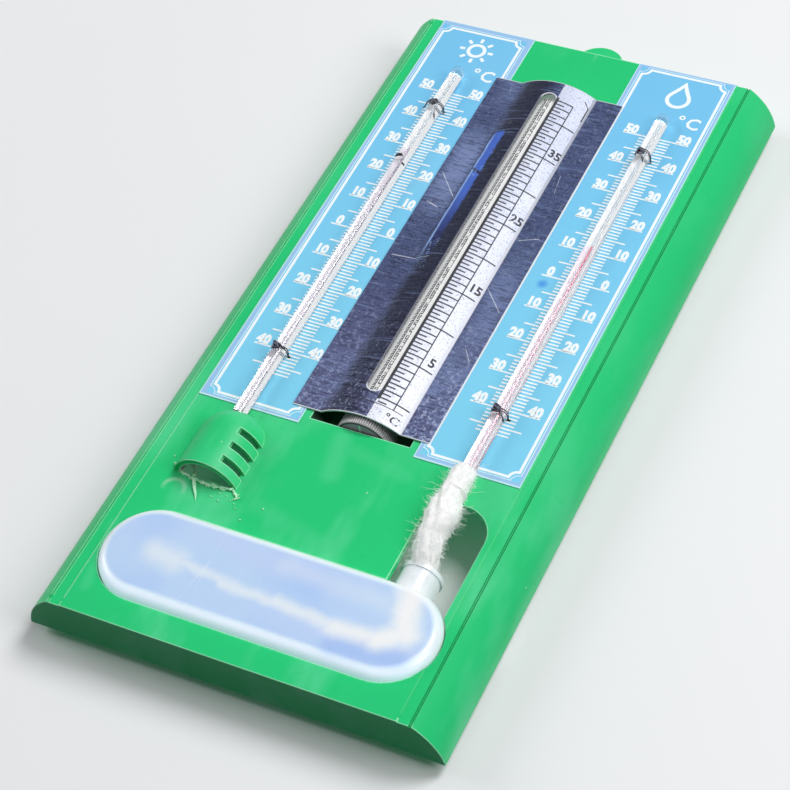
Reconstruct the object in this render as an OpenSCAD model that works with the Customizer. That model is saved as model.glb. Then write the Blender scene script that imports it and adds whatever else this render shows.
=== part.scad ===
// Wall-hung wet and dry bulb hygrometer: board, two thermometers, drum table and water bottle.
// The origin is the centre of the hanging hole on the wall plane; +Z runs up the board, the face looks to -Y.

/* [Board] */
// Width over the open back edges
board_w = 118; // [114:1:122]
// Length of the moulded board without its tab
board_l = 234; // [232:1:240]
// Depth from the wall plane to the front face
board_d = 13; // [12.5:0.5:14]
// Wall thickness of the moulding
wall = 2; // [1.6:0.1:2.2]
// Radius of the curved long sides
side_r = 18; // [17:0.5:20]
// Half width of the front face between the two long grooves
face_half = 50.8; // [50:0.2:51.4]
// Height of the hanging hole above the end of the board
tab_rise = 7; // [6:0.5:9]
// Radius of the hanging tab
tab_r = 7.5; // [7:0.5:9]
// Diameter of the hanging hole
hang_hole_d = 5; // [4:0.5:6]

/* [Scale labels] */
// Width of a label
label_w = 30.2; // [29:0.1:30.4]
// Length of a label
label_l = 159.3; // [150:0.1:160]
// Thickness of a label
label_t = 0.3; // [0.2:0.05:0.4]
// Distance of a label's middle from the board's middle
label_x = 32; // [31.8:0.1:32.2]

/* [Thermometers] */
// Distance of the dry tube from the middle
dry_x = 32.2; // [31.8:0.1:32.6]
// Distance of the wet tube from the middle
wet_x = 33; // [32.6:0.1:33.2]
// Outer diameter of the glass stems
stem_d = 4; // [3.6:0.1:4.2]
// Diameter of the capillary
capillary_d = 0.5; // [0.4:0.1:0.8]
// Diameter of the bulbs
bulb_d = 3.8; // [3.2:0.1:4]
// Depth of the stems' tops below the board's end
stem_top = 21; // [18:0.5:24]
// Depth at which the stems turn into bulbs
bulb_top = 167; // [166:0.5:170]
// Length of a bulb
bulb_l = 12; // [8:0.5:13]
// Depth of the 50 degree line below the board's end
scale_top = 30; // [28:0.5:32]
// Length of one degree
degree = 1.2; // [1.1:0.05:1.25]
// Temperature shown by the dry thermometer
dry_reading = 27; // [5:1:35]
// Temperature shown by the wet thermometer
wet_reading = 11; // [5:1:35]

/* [Drum and cover] */
// Depth of the drum's axis behind the front face
axis_depth = 4.7; // [4.6:0.1:5]
// Radius over the paper table
drum_r = 7.2; // [6.6:0.1:7.4]
// Radius of the setting knob
knob_r = 7.9; // [7.4:0.1:8]
// Number of ribs round the knob
knob_ribs = 72; // [36:4:90]
// Width of the cover plate
cover_w = 40; // [38:0.5:41]
// Length of the cover plate
cover_l = 135; // [134:0.5:135.5]
// Thickness of the cover plate
cover_t = 0.4; // [0.3:0.05:0.5]
// Height of the cover's hump over the front face
hump_h = 4.3; // [4.1:0.1:4.8]
// Width of the hump at its feet
hump_w = 23.4; // [22.5:0.1:24]
// Width of the reading slot
slot_w = 4.7; // [3:0.1:5.5]
// Length of the reading slot
slot_l = 121; // [110:1:123]

/* [Bulb guard] */
// Radius of the moulded guard over the dry bulb
guard_r = 9.7; // [9.4:0.1:10]
// Distance of the guard's middle from the board's middle
guard_x = 31.4; // [31:0.1:32]
// Width of a louvre
louvre_w = 2; // [1.2:0.1:2.4]
// Distance between louvres
louvre_step = 4.9; // [4.4:0.1:5.2]

/* [Wick window and water bottle] */
// Width of the window between wet bulb and bottle
window_w = 18.4; // [18:0.2:18.6]
// Length of the bottle's opening
tank_hole_l = 95.4; // [94:0.2:96]
// Height of the bottle's opening
tank_hole_h = 28.9; // [28:0.1:29]
// How far the bottle stands out of the front face
tank_front = 2.6; // [2:0.1:3.2]
// How far the bottle reaches behind the wall plane
tank_back = 2.4; // [1:0.1:3]
// Wall thickness of the bottle
tank_wall = 1.2; // [1:0.1:1.5]
// Radius of the bottle's rounded rims
tank_round = 3; // [2.6:0.1:4]
// Radius of the bottle's neck
neck_r = 5.4; // [5.2:0.1:5.4]

/* [Hidden] */
$fn = 96;
eps = 0.01;
gap = 0.3;

tab_t = 2.2;

green = [0.13, 0.72, 0.42];
pale_blue = [0.42, 0.76, 0.93];
glass = [0.86, 0.93, 0.95];
milk = [0.68, 0.78, 0.95];
ink_red = [0.86, 0.2, 0.32];

// Heights are given as depths below the board's upper end
end_z = -tab_rise;
function down(depth) = end_z - depth;
face_y = -board_d;
inner_y = face_y + wall;

// The curved sides pass through the groove line on the face and the back edge
chord_x = board_w / 2 - face_half;
chord = sqrt(chord_x * chord_x + board_d * board_d);
chord_to_axis = sqrt(side_r * side_r - chord * chord / 4);
side_axis_x = (board_w / 2 + face_half) / 2 - chord_to_axis * board_d / chord;
side_axis_y = face_y / 2 + chord_to_axis * chord_x / chord;

// Long grooves beside the labels: a shallow band and a fine line at its outer edge
band_in = label_x + label_w / 2 + 0.3;
band_out = face_half - 0.2;
band_depth = 0.3;
line_w = 0.5;
line_depth = 0.65;
// The curved sides begin at the outer wall of the fine line
side_from = band_out + line_w;

// Thermometers lie on their labels
stem_y = face_y - label_t - stem_d / 2;
backing_w = 2.6;
backing_t = 0.25;
backing_y = stem_y + 0.75;
backing_end = 163;
bulb_skin = 0.5;

// Wire ties go round a stem, through two holes and are twisted behind the board
tie_depths = [38.3, 139.8];
wire_r = 0.35;
loop_r = stem_d / 2 + wire_r + 0.05;
leg_hole_r = 0.6;
twist_r = 0.4;
twist_l = 6;

// Drum, its well and its bearings
axis_y = face_y + axis_depth;
well_half = 14.7;
well_top = 21.2;
well_end = 156.8;
rib = 1.6;
rib_back = -1.5;
pin_r = 1.6;
neck_shaft_r = 3;
knob_shaft_r = 2;
running = 0.08;
notch_l = 1.8;
lower_bearing = 147.6;
drum_from = 22.9;
drum_to = 146;
paper_t = 0.25;
tube_t = 1.1;
plug_l = 5;
flange_t = 1;
knob_from = 150.5;
knob_to = 156.4;
rib_depth = 0.35;

// Cover plate over the drum, set a little left of the middle
cover_x = -1;
cover_top = 19.3;
flange_y = face_y - label_t;
plate_rise = hump_h - label_t - cover_t;
hump_r = (hump_w * hump_w / 4 + plate_rise * plate_rise) / (2 * plate_rise);
hump_axis_y = face_y - hump_h + hump_r;
slot_top = 24.4;
slot_x = -1.15;
tab_depths = [32, 141];
lug_l = 5;
lug_fold = 3;
lug_slot = 0.9;

// Guard over the dry bulb: a half round hood with a ball end
guard_wall = 1.5;
guard_axis_y = face_y + 2.3;
guard_from = 171.5;
guard_to = 185.2;
louvre_x = -27.3;

// Window and bottle
window_x = 36.4;
window_top = 169.3;
tank_x = 1;
tank_depth = 211.75;
tank_hole_r = tank_hole_h / 2;
tank_half = tank_hole_l / 2 - tank_hole_r;
tank_r = tank_hole_r - gap;
tank_d = board_d + tank_front + tank_back;
collar_back = -3;
neck_x = 33.3;
neck_y = -8;
neck_top = 189.7;
neck_wall = 0.7;
lip_l = 1.2;
lip = 0.4;

// Wick: radius at each depth round the wet bulb, then the route of its tail into the bottle
sleeve_form = [[159.8, 2.7], [161.2, 3.5], [164, 3.6], [168, 3.2], [171, 3.9], [174.5, 4.5], [177.5, 4.5],
               [180, 3.4], [181, 2.6]];
sleeve_y = stem_y - 0.4;
tail_route = [[33, -15.3, 181.7, 2.2], [33.1, -14.6, 184, 2.5], [33.2, -12.3, 186.7, 2.5],
              [33.3, -9.7, 189.6, 2.1], [33.3, -9.7, 193, 2.1], [33.4, -9.9, 198, 2.1],
              [34.4, -10.7, 202, 2.4], [36.4, -11.2, 206, 2.6], [38.2, -11.4, 210, 2.6],
              [38.9, -11.4, 213.5, 2.5], [36.5, -11.3, 216.3, 2.3], [31, -11.2, 216.8, 2.1],
              [16, -10.9, 216.2, 1.8], [-8, -10.7, 215.4, 1.6], [-30, -10.7, 214.6, 1.2]];

// Sweep of a round section along points [x, y, z, radius], as one closed skin
function unit(v) = v / norm(v);
function xyz(p) = [p[0], p[1], p[2]];
function heading(path, i) = unit(xyz(path[min(i + 1, len(path) - 1)]) - xyz(path[max(i - 1, 0)]));
function carried(side, t) = unit(side - (side * t) * t);
function sides_along(path, i, side) =
    i == len(path) ? [] : let(s = carried(side, heading(path, i))) concat([s], sides_along(path, i + 1, s));
function ring(p, t, s, n) =
    let(b = cross(t, s)) [for (k = [0:n - 1]) xyz(p) + p[3] * (cos(360 * k / n) * s + sin(360 * k / n) * b)];

module sweep(path, n, start = [1, 0, 0]) {
    frames = sides_along(path, 0, carried(start, heading(path, 0)));
    last = len(path) - 1;
    points = [for (i = [0:last]) each ring(path[i], heading(path, i), frames[i], n)];
    walls = [for (i = [0:last - 1], k = [0:n - 1])
        let(a = i * n + k, b = i * n + (k + 1) % n) each [[a, b, b + n], [a, b + n, a + n]]];
    lids = [for (k = [1:n - 2]) each [[0, k + 1, k], [last * n, last * n + k, last * n + k + 1]]];
    polyhedron(points, [for (f = concat(walls, lids)) [f[0], f[2], f[1]]], convexity = 6);
}

// Outline of the board across its length, drawn inset by a wall thickness for the inside
module board_section(inset) {
    depth = board_d - inset;
    intersection() {
        translate([-board_w / 2, -depth]) square([board_w, depth]);
        union() {
            translate([-side_axis_x, -depth]) square([2 * side_axis_x, depth]);
            for (s = [-1, 1]) translate([s * side_axis_x, side_axis_y]) circle(r = side_r - inset, $fn = 180);
        }
    }
}

// Stadium standing in the face, from one depth in y to another
module stadium(r, half, y_from, y_to) {
    translate([tank_x, 0, down(tank_depth)]) {
        for (s = [-1, 1])
            translate([s * half, y_to, 0]) rotate([90, 0, 0]) cylinder(r = r, h = y_to - y_from);
        translate([-half, y_from, -r]) cube([2 * half, y_to - y_from, 2 * r]);
    }
}

module long_grooves() {
    for (s = [-1, 1]) {
        translate([s > 0 ? band_in : -band_out, face_y - 1, down(board_l) - 1])
            cube([band_out - band_in, 1 + band_depth, board_l + 2]);
        translate([s > 0 ? band_out - eps : -band_out - line_w, face_y - 1, down(board_l) - 1])
            cube([line_w + eps, 1 + line_depth, board_l + 2]);
    }
}

// Wall of the board across its length, open to the back
module shell_ring() difference() {
    board_section(0);
    board_section(wall);
    translate([-side_axis_x, -1]) square([2 * side_axis_x, 2]);
}

module between_ends() translate([0, 0, down(board_l - wall)])
    linear_extrude(board_l - 2 * wall) intersection() {
        shell_ring();
        children();
    }

module end_wall(depth) difference() {
    translate([0, 0, down(depth + wall)]) linear_extrude(wall) board_section(0);
    long_grooves();
}

// Two side walls and two bearing walls hang behind the drum opening
module well_walls() {
    for (s = [-1, 1])
        translate([s > 0 ? well_half : -well_half - rib, inner_y, down(well_end + rib)])
            cube([rib, rib_back - inner_y, well_end - well_top + 2 * rib]);
    for (depth = [well_top, lower_bearing + rib, well_end + rib])
        translate([-well_half - eps, inner_y, down(depth)])
            cube([2 * well_half + 2 * eps, rib_back - inner_y, rib]);
    translate([-well_half, face_y, down(lower_bearing + rib)]) cube([2 * well_half, wall + eps, rib]);
}

module drum_opening() {
    translate([-well_half, face_y - 1, down(well_end)]) cube([2 * well_half, wall + 2, well_end - well_top]);
}

// Journals drop into notches that are open to the front, under the cover
module notch(radius, top, length) {
    translate([0, axis_y, down(top)]) cylinder(r = radius, h = length);
    translate([-radius, face_y - 1, down(top)]) cube([2 * radius, axis_depth + 1, length]);
}

module bearing_notches() {
    notch(pin_r + running, well_top + eps, notch_l);
    notch(neck_shaft_r + running, lower_bearing + rib + eps, rib + 2 * eps);
}

module guard_form(r) {
    translate([-guard_x, guard_axis_y, down(guard_to)]) cylinder(r = r, h = guard_to - guard_from);
    translate([-guard_x, guard_axis_y, down(guard_from)]) sphere(r = r);
}

// Everything of the guard that lies in front of the board's face
module guard_hood() {
    intersection() {
        guard_form(guard_r);
        translate([-guard_x - guard_r, face_y - guard_r, down(guard_to)])
            cube([2 * guard_r, guard_r, guard_to - guard_from + guard_r]);
    }
}

module guard_cuts() {
    intersection() {
        guard_form(guard_r - guard_wall);
        translate([-guard_x - guard_r, face_y - guard_r, down(guard_to + eps)])
            cube([2 * guard_r, 2 * guard_r, guard_to - guard_from + guard_r]);
    }
    for (i = [0:2])
        translate([louvre_x, face_y - guard_r, down(guard_from + i * louvre_step + louvre_w / 2)])
            cube([guard_r, guard_r, louvre_w]);
    translate([-dry_x, stem_y, down(guard_from)]) cylinder(d = stem_d + 0.1, h = guard_r + 1);
}

module collar_wall() {
    difference() {
        stadium(tank_hole_r + rib, tank_half, inner_y, collar_back);
        stadium(tank_hole_r, tank_half, inner_y - 1, collar_back + 1);
        translate([window_x - window_w / 2, inner_y - 1, down(tank_depth)])
            cube([window_w, wall + board_d, tank_hole_h]);
    }
}

module window_cut() {
    translate([window_x, face_y + wall + 1, down(window_top + window_w / 2)])
        rotate([90, 0, 0]) cylinder(d = window_w, h = wall + 2);
    translate([window_x - window_w / 2, face_y - 1, down(tank_depth)])
        cube([window_w, wall + 2, tank_depth - window_top - window_w / 2]);
}

module stiffening_ribs() {
    for (depth = [62, 112], s = [-1, 1])
        translate([s > 0 ? well_half + rib : -face_half + 1, inner_y, down(depth)])
            cube([face_half - 1 - well_half - rib, 4, rib]);
}

module leg_holes() {
    for (x = [-dry_x, wet_x], depth = tie_depths, s = [-1, 1])
        translate([x + s * loop_r, face_y + wall + 1, down(depth)])
            rotate([90, 0, 0]) cylinder(r = leg_hole_r, h = wall + 3);
}

module lug_slots() {
    for (s = [-1, 1], depth = tab_depths)
        translate([cover_x + s * (cover_w - cover_t) / 2 - lug_slot / 2, face_y - 1,
                   down(depth + lug_l + 0.3)])
            cube([lug_slot, wall + 2, lug_l + 0.6]);
}

// Flat front with all its openings
module board_face() color(green) difference() {
    between_ends() translate([-side_from, face_y]) square([2 * side_from, board_d]);
    long_grooves();
    drum_opening();
    bearing_notches();
    guard_cuts();
    stadium(tank_hole_r, tank_half, face_y - 1, inner_y + 1);
    window_cut();
    leg_holes();
    lug_slots();
}

// End wall with the tab that the board hangs by
module upper_end() color(green) difference() {
    union() {
        end_wall(0);
        rotate([90, 0, 0]) cylinder(r = tab_r, h = tab_t);
        translate([-tab_r, -tab_t, end_z - wall]) cube([2 * tab_r, tab_t, tab_rise + wall]);
    }
    translate([0, 1, 0]) rotate([90, 0, 0]) cylinder(d = hang_hole_d, h = 5);
}

module lower_end() color(green) end_wall(board_l - wall);
module left_side() color(green) between_ends()
    translate([-board_w, face_y]) square([board_w - side_from, board_d]);
module right_side() color(green) between_ends()
    translate([side_from, face_y]) square([board_w - side_from, board_d]);

module drum_well() color(green) difference() {
    well_walls();
    bearing_notches();
}

module bulb_guard() color(green) difference() {
    guard_hood();
    guard_cuts();
}

module bottle_collar() color(green) collar_wall();
module back_ribs() color(green) stiffening_ribs();

module scale_label(x) color(pale_blue) difference() {
    translate([x - label_w / 2, face_y - label_t, down(label_l + 0.2)]) cube([label_w, label_t, label_l]);
    leg_holes();
    lug_slots();
}

module dry_scale_label() scale_label(-label_x);
module wet_scale_label() scale_label(label_x);

// Glass stem with a round top, a bore, a hollow bulb and a flat slit for its white backing
module stem(x) color(glass) translate([x, stem_y, 0]) difference() {
    union() {
        translate([0, 0, down(stem_top + stem_d / 2)]) sphere(d = stem_d);
        translate([0, 0, down(bulb_top)]) cylinder(d = stem_d, h = bulb_top - stem_top - stem_d / 2);
        translate([0, 0, down(bulb_top + bulb_l)]) cylinder(d = bulb_d, h = bulb_l);
        translate([0, 0, down(bulb_top + bulb_l)]) sphere(d = bulb_d);
    }
    translate([0, 0, down(bulb_top + eps)]) cylinder(d = capillary_d, h = bulb_top - stem_top - 4);
    translate([0, 0, down(bulb_top + bulb_l)]) cylinder(d = bulb_d - 2 * bulb_skin, h = bulb_l);
    translate([0, 0, down(bulb_top + bulb_l)]) sphere(d = bulb_d - 2 * bulb_skin);
    backing_slit(0);
}

module backing_slit(clear) {
    translate([-backing_w / 2 + clear, backing_y - stem_y + clear, down(backing_end) + clear])
        cube([backing_w - 2 * clear, backing_t - 2 * clear, backing_end - stem_top - 3 - 2 * clear]);
}

module backing(x) color("white") translate([x, stem_y, 0]) backing_slit(eps);

// Coloured spirit in the bulb and up the bore to the reading
module column(x, reading) color(ink_red) translate([x, stem_y, 0]) {
    level = scale_top + (50 - reading) * degree;
    translate([0, 0, down(bulb_top + bulb_l)]) {
        cylinder(d = bulb_d - 2 * bulb_skin - 0.04, h = bulb_l - 0.02);
        sphere(d = bulb_d - 2 * bulb_skin - 0.04);
    }
    translate([0, 0, down(bulb_top + 0.05)]) cylinder(d = capillary_d - 0.04, h = bulb_top - level);
}

module dry_stem() stem(-dry_x);
module wet_stem() stem(wet_x);
module dry_backing() backing(-dry_x);
module wet_backing() backing(wet_x);
module dry_column() column(-dry_x, dry_reading);
module wet_column() column(wet_x, wet_reading);

// One wire: up the twist, through the board, round the stem, back and down the twist again
function twist(phase, from, to) =
    [for (k = [0:10]) let(f = from + (to - from) * k / 10, a = phase + 720 * f)
        [twist_r * cos(a), 1.2 + twist_r * sin(a), -1.4 - twist_l * f, wire_r]];
tie_leg_y = inner_y - stem_y;
tie_route = concat(
    [for (p = twist(180, 1, 0)) p + [0, tie_leg_y, 0, 0]],
    [[-1.5, tie_leg_y + 0.9, -0.4, wire_r], [-loop_r, tie_leg_y, 0, wire_r]],
    [for (a = [180:-20:0]) [loop_r * cos(a), -loop_r * sin(a), 0, wire_r]],
    [[loop_r, tie_leg_y, 0, wire_r], [1.5, tie_leg_y + 0.9, -0.4, wire_r]],
    [for (p = twist(0, 0, 1)) p + [0, tie_leg_y, 0, 0]]);

module tie(x, depth) color([0.08, 0.08, 0.22]) translate([x, stem_y, down(depth)]) sweep(tie_route, 6);
module dry_tie_upper() tie(-dry_x, tie_depths[0]);
module dry_tie_lower() tie(-dry_x, tie_depths[1]);
module wet_tie_upper() tie(wet_x, tie_depths[0]);
module wet_tie_lower() tie(wet_x, tie_depths[1]);

// Sheet section: two flat flanges and an arched hump, drawn across the board
module cover_section() {
    difference() {
        union() {
            translate([-cover_w / 2, flange_y - cover_t]) square([cover_w, cover_t]);
            intersection() {
                translate([0, hump_axis_y]) circle(r = hump_r, $fn = 240);
                translate([-cover_w / 2, flange_y - cover_t - hump_h]) square([cover_w, hump_h + eps]);
            }
        }
        translate([0, hump_axis_y]) circle(r = hump_r - cover_t, $fn = 240);
    }
}

module cover_lugs() {
    for (s = [-1, 1], depth = tab_depths)
        translate([s * (cover_w - cover_t) / 2, 0, down(depth + lug_l)]) {
            translate([-cover_t / 2, flange_y - cover_t, 0])
                cube([cover_t, wall + label_t + 2 * cover_t, lug_l]);
            translate([s > 0 ? -cover_t / 2 : -lug_fold + cover_t / 2, inner_y, 0])
                cube([lug_fold, cover_t, lug_l]);
        }
}

module drum_cover() color([0.36, 0.37, 0.42]) difference() {
    translate([cover_x, 0, 0]) {
        translate([0, 0, down(cover_top + cover_l)]) linear_extrude(cover_l) cover_section();
        cover_lugs();
    }
    translate([slot_x, face_y, 0]) {
        for (depth = [slot_top + slot_w / 2, slot_top + slot_l - slot_w / 2])
            translate([0, 0, down(depth)]) rotate([90, 0, 0]) cylinder(d = slot_w, h = 2 * hump_h);
        translate([-slot_w / 2, -2 * hump_h, down(slot_top + slot_l - slot_w / 2)])
            cube([slot_w, 2 * hump_h, slot_l - slot_w]);
    }
}

module on_axis() translate([0, axis_y, 0]) children();

module drum_tube() color([0.78, 0.76, 0.7]) on_axis() translate([0, 0, down(drum_to)]) difference() {
    cylinder(r = drum_r - paper_t, h = drum_to - drum_from);
    translate([0, 0, -eps]) cylinder(r = drum_r - paper_t - tube_t, h = drum_to - drum_from + 2 * eps);
}

module paper_table() color([0.95, 0.94, 0.9]) on_axis() translate([0, 0, down(drum_to)]) difference() {
    cylinder(r = drum_r, h = drum_to - drum_from);
    translate([0, 0, -eps]) cylinder(r = drum_r - paper_t, h = drum_to - drum_from + 2 * eps);
}

module drum_top_plug() color([0.2, 0.2, 0.22]) on_axis() {
    translate([0, 0, down(drum_from + plug_l)]) cylinder(r = drum_r - paper_t - tube_t, h = plug_l);
    translate([0, 0, down(drum_from)]) cylinder(r = drum_r - paper_t, h = flange_t);
    translate([0, 0, down(drum_from - flange_t + eps)])
        cylinder(r = pin_r, h = drum_from - flange_t - well_top + rib);
}

module drum_lower_plug() color([0.2, 0.2, 0.22]) on_axis() {
    translate([0, 0, down(drum_to)]) cylinder(r = drum_r - paper_t - tube_t, h = plug_l);
    translate([0, 0, down(drum_to + flange_t)]) cylinder(r = drum_r - paper_t, h = flange_t);
    translate([0, 0, down(knob_from)]) cylinder(r = neck_shaft_r, h = knob_from - drum_to - flange_t + eps);
    translate([0, 0, down(knob_from + 4)]) cylinder(r = knob_shaft_r, h = 4 + eps);
}

// Ribbed wheel with both rims eased
module setting_knob() color([0.17, 0.18, 0.2]) on_axis() translate([0, 0, down(knob_to)]) difference() {
    knob_l = knob_to - knob_from;
    ease = 0.5;
    intersection() {
        linear_extrude(knob_l)
            polygon([for (i = [0:2 * knob_ribs - 1])
                let(r = knob_r - (i % 2) * rib_depth, a = 180 * i / knob_ribs) [r * cos(a), r * sin(a)]]);
        rotate_extrude() polygon([[0, 0], [knob_r - ease, 0], [knob_r + ease, 2 * ease],
                                  [knob_r + ease, knob_l - 2 * ease], [knob_r - ease, knob_l], [0, knob_l]]);
    }
    translate([0, 0, knob_l - 4]) cylinder(r = knob_shaft_r, h = 4 + eps);
    knob_line(0);
}

module knob_line(clear)
    translate([-0.25 + clear, -knob_r + 0.9 + clear, -eps]) cube([0.5 - 2 * clear, 4.6 - 2 * clear, 0.25]);

module knob_index() color("white") on_axis() translate([0, 0, down(knob_to)]) knob_line(eps);

// Half of a rounded slab: x is the distance from its middle, y runs through its thickness
module slab_half(r, d, round) {
    square([r - round, d]);
    translate([0, round]) square([r, d - 2 * round]);
    for (v = [round, d - round]) translate([r - round, v]) circle(r = round);
}

module slab(r, d, round) {
    for (s = [-1, 1]) translate([s * tank_half, 0, 0]) rotate([90, 0, 0])
        rotate_extrude() intersection() {
            slab_half(r, d, round);
            square([r + 1, d + 1]);
        }
    rotate(a = 180, v = [1, 0, 1]) translate([0, 0, -tank_half]) linear_extrude(2 * tank_half) {
        slab_half(r, d, round);
        mirror([1, 0]) slab_half(r, d, round);
    }
}

module water_tank() color(milk) difference() {
    union() {
        translate([tank_x, tank_back, down(tank_depth)]) slab(tank_r, tank_d, tank_round);
        translate([neck_x, neck_y, down(tank_depth - 6)]) cylinder(r = neck_r, h = tank_depth - 6 - neck_top);
        translate([neck_x, neck_y, down(neck_top + lip_l)]) cylinder(r = neck_r + lip, h = lip_l);
    }
    translate([tank_x, tank_back - tank_wall, down(tank_depth)])
        slab(tank_r - tank_wall, tank_d - 2 * tank_wall, tank_round - tank_wall);
    translate([neck_x, neck_y, down(tank_depth - 5)])
        cylinder(r = neck_r - neck_wall, h = tank_depth - 5 - neck_top + eps);
}

// The gauze lies on the board and hangs through the window
module board_behind_wick() difference() {
    translate([wet_x - 8, face_y - 0.1, down(tank_depth)]) cube([16, 3, tank_depth - window_top + 12]);
    window_cut();
}

module wick_sleeve() color([0.96, 0.96, 0.94]) difference() {
    translate([wet_x, sleeve_y, 0]) rotate_extrude()
        polygon(concat([[0, down(sleeve_form[0][0])]], [for (p = sleeve_form) [p[1], down(p[0])]],
                       [[0, down(sleeve_form[len(sleeve_form) - 1][0])]]));
    translate([wet_x, stem_y, down(bulb_top)]) cylinder(d = stem_d + 0.04, h = 20);
    translate([wet_x, stem_y, down(bulb_top + bulb_l)]) cylinder(d = bulb_d + 0.04, h = bulb_l + eps);
    translate([wet_x, stem_y, down(bulb_top + bulb_l)]) sphere(d = bulb_d + 0.04);
    board_behind_wick();
    wick_thread_ring(0.32);
}

module wick_tail() color([0.96, 0.96, 0.94])
    sweep([for (p = tail_route) [p[0], p[1], down(p[2]), p[3]]], 8);

// Thread that holds the gauze at its waist
module wick_thread_ring(r) {
    translate([wet_x, sleeve_y, down(168)]) rotate_extrude() translate([3.15, 0]) circle(r = r, $fn = 24);
}

module wick_thread() color([0.9, 0.89, 0.85]) difference() {
    wick_thread_ring(0.3);
    board_behind_wick();
}

board_face();
upper_end();
lower_end();
left_side();
right_side();
drum_well();
bulb_guard();
bottle_collar();
back_ribs();
dry_scale_label();
wet_scale_label();
dry_stem();
wet_stem();
dry_backing();
wet_backing();
dry_column();
wet_column();
dry_tie_upper();
dry_tie_lower();
wet_tie_upper();
wet_tie_lower();
drum_cover();
drum_tube();
paper_table();
drum_top_plug();
drum_lower_plug();
setting_knob();
knob_index();
water_tank();
wick_sleeve();
wick_tail();
wick_thread();
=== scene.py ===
import bpy
import bmesh
import math
import random
from mathutils import Matrix, Vector, noise


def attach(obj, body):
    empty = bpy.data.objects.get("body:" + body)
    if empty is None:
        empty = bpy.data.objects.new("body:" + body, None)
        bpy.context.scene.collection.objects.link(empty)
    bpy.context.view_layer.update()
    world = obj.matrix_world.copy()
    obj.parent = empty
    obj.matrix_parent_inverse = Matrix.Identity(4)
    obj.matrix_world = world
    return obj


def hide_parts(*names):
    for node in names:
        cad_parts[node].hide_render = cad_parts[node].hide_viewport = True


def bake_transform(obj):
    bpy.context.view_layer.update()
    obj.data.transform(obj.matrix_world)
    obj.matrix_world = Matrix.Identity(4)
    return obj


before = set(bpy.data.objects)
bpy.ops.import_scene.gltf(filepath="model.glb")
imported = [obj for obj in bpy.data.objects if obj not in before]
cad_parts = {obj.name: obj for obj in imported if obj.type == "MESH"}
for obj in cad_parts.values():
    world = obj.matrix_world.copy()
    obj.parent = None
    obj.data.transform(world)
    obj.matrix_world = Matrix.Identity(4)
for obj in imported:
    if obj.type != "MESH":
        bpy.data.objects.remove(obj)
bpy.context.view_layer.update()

mm = 0.001
boardTop = -7.0  # the board's upper end below the hanging hole
labelY = -13.3  # front of the printed labels; the board's own front is at -13.0
drumY = -8.3  # the drum's axis


def zAt(depth):  # depths are counted down from the board's upper end, in millimetres
    return boardTop - depth


def newObject(name, data):  # a new object in the scene, at the origin
    made = bpy.data.objects.new(name, data)
    bpy.context.scene.collection.objects.link(made)
    return made


def compass(radius, degrees):  # both shares of a radius at an angle
    return radius * math.cos(math.radians(degrees)), radius * math.sin(math.radians(degrees))


# camera of the reference view: low, to the right of the upright board
view = {
    "place": (226.709 * mm, -484.364 * mm, -492.732 * mm),
    "right": (0.897133, 0.113876, 0.426830),
    "down": (0.259347, 0.646404, -0.717566),
    "ahead": (-0.357619, 0.754449, 0.550377),
    "lens": 107.17,
}


def makeCamera():
    data = bpy.data.cameras.new("view_camera")
    data.lens, data.sensor_width, data.clip_start, data.clip_end = view["lens"], 36, 0.01, 20
    camera = newObject("view_camera", data)
    right, down, ahead = (Vector(view[k]) for k in ("right", "down", "ahead"))
    turn = Matrix((right, -down, -ahead)).transposed().to_4x4()
    camera.matrix_world = Matrix.Translation(view["place"]) @ turn
    bpy.context.scene.camera = camera


makeCamera()
print("camera placed")


class Wire:  # a shader or geometry socket with arithmetic
    def __init__(self, tree, socket):
        self.tree, self.socket = tree, socket

    def maths(self, operation, *values, clamp=False):
        made = self.tree.nodes.new("ShaderNodeMath")
        made.operation, made.use_clamp = operation, clamp
        for place, value in enumerate(values):
            plug(self.tree, made.inputs[place], value)
        return Wire(self.tree, made.outputs[0])

    def __add__(self, other): return self.maths("ADD", self, other)
    def __radd__(self, other): return self.maths("ADD", other, self)
    def __sub__(self, other): return self.maths("SUBTRACT", self, other)
    def __rsub__(self, other): return self.maths("SUBTRACT", other, self)
    def __mul__(self, other): return self.maths("MULTIPLY", self, other)
    def __rmul__(self, other): return self.maths("MULTIPLY", other, self)
    def __truediv__(self, other): return self.maths("DIVIDE", self, other)
    def __rtruediv__(self, other): return self.maths("DIVIDE", other, self)
    def __mod__(self, other): return self.maths("FLOORED_MODULO", self, other)
    def __pow__(self, other): return self.maths("POWER", self, other)
    def __neg__(self): return self.maths("MULTIPLY", self, -1)
    def __abs__(self): return self.maths("ABSOLUTE", self)
    def __gt__(self, other): return self.maths("GREATER_THAN", self, other)
    def __lt__(self, other): return self.maths("LESS_THAN", self, other)
    def floor(self): return self.maths("FLOOR", self)
    def least(self, other): return self.maths("MINIMUM", self, other)
    def most(self, other): return self.maths("MAXIMUM", self, other)
    def clamped(self): return self.maths("ADD", self, 0, clamp=True)


def plug(tree, socket, value):
    if isinstance(value, Wire):
        tree.links.new(value.socket, socket)
    elif isinstance(value, bpy.types.NodeSocket):
        tree.links.new(value, socket)
    else:
        socket.default_value = value


class Tree:  # shared by the finishes and the node-built shapes
    def node(self, kind, settings=None, inputs=None, output=0):
        made = self.tree.nodes.new(kind)
        for key, value in (settings or {}).items():
            setattr(made, key, value)
        for key, value in (inputs or {}).items():
            plug(self.tree, made.inputs[key], value)
        return Wire(self.tree, made.outputs[output])

    def apart(self, source):  # the three parts of a vector
        split = self.tree.nodes.new("ShaderNodeSeparateXYZ")
        plug(self.tree, split.inputs[0], source)
        return [Wire(self.tree, part) for part in split.outputs]


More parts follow.
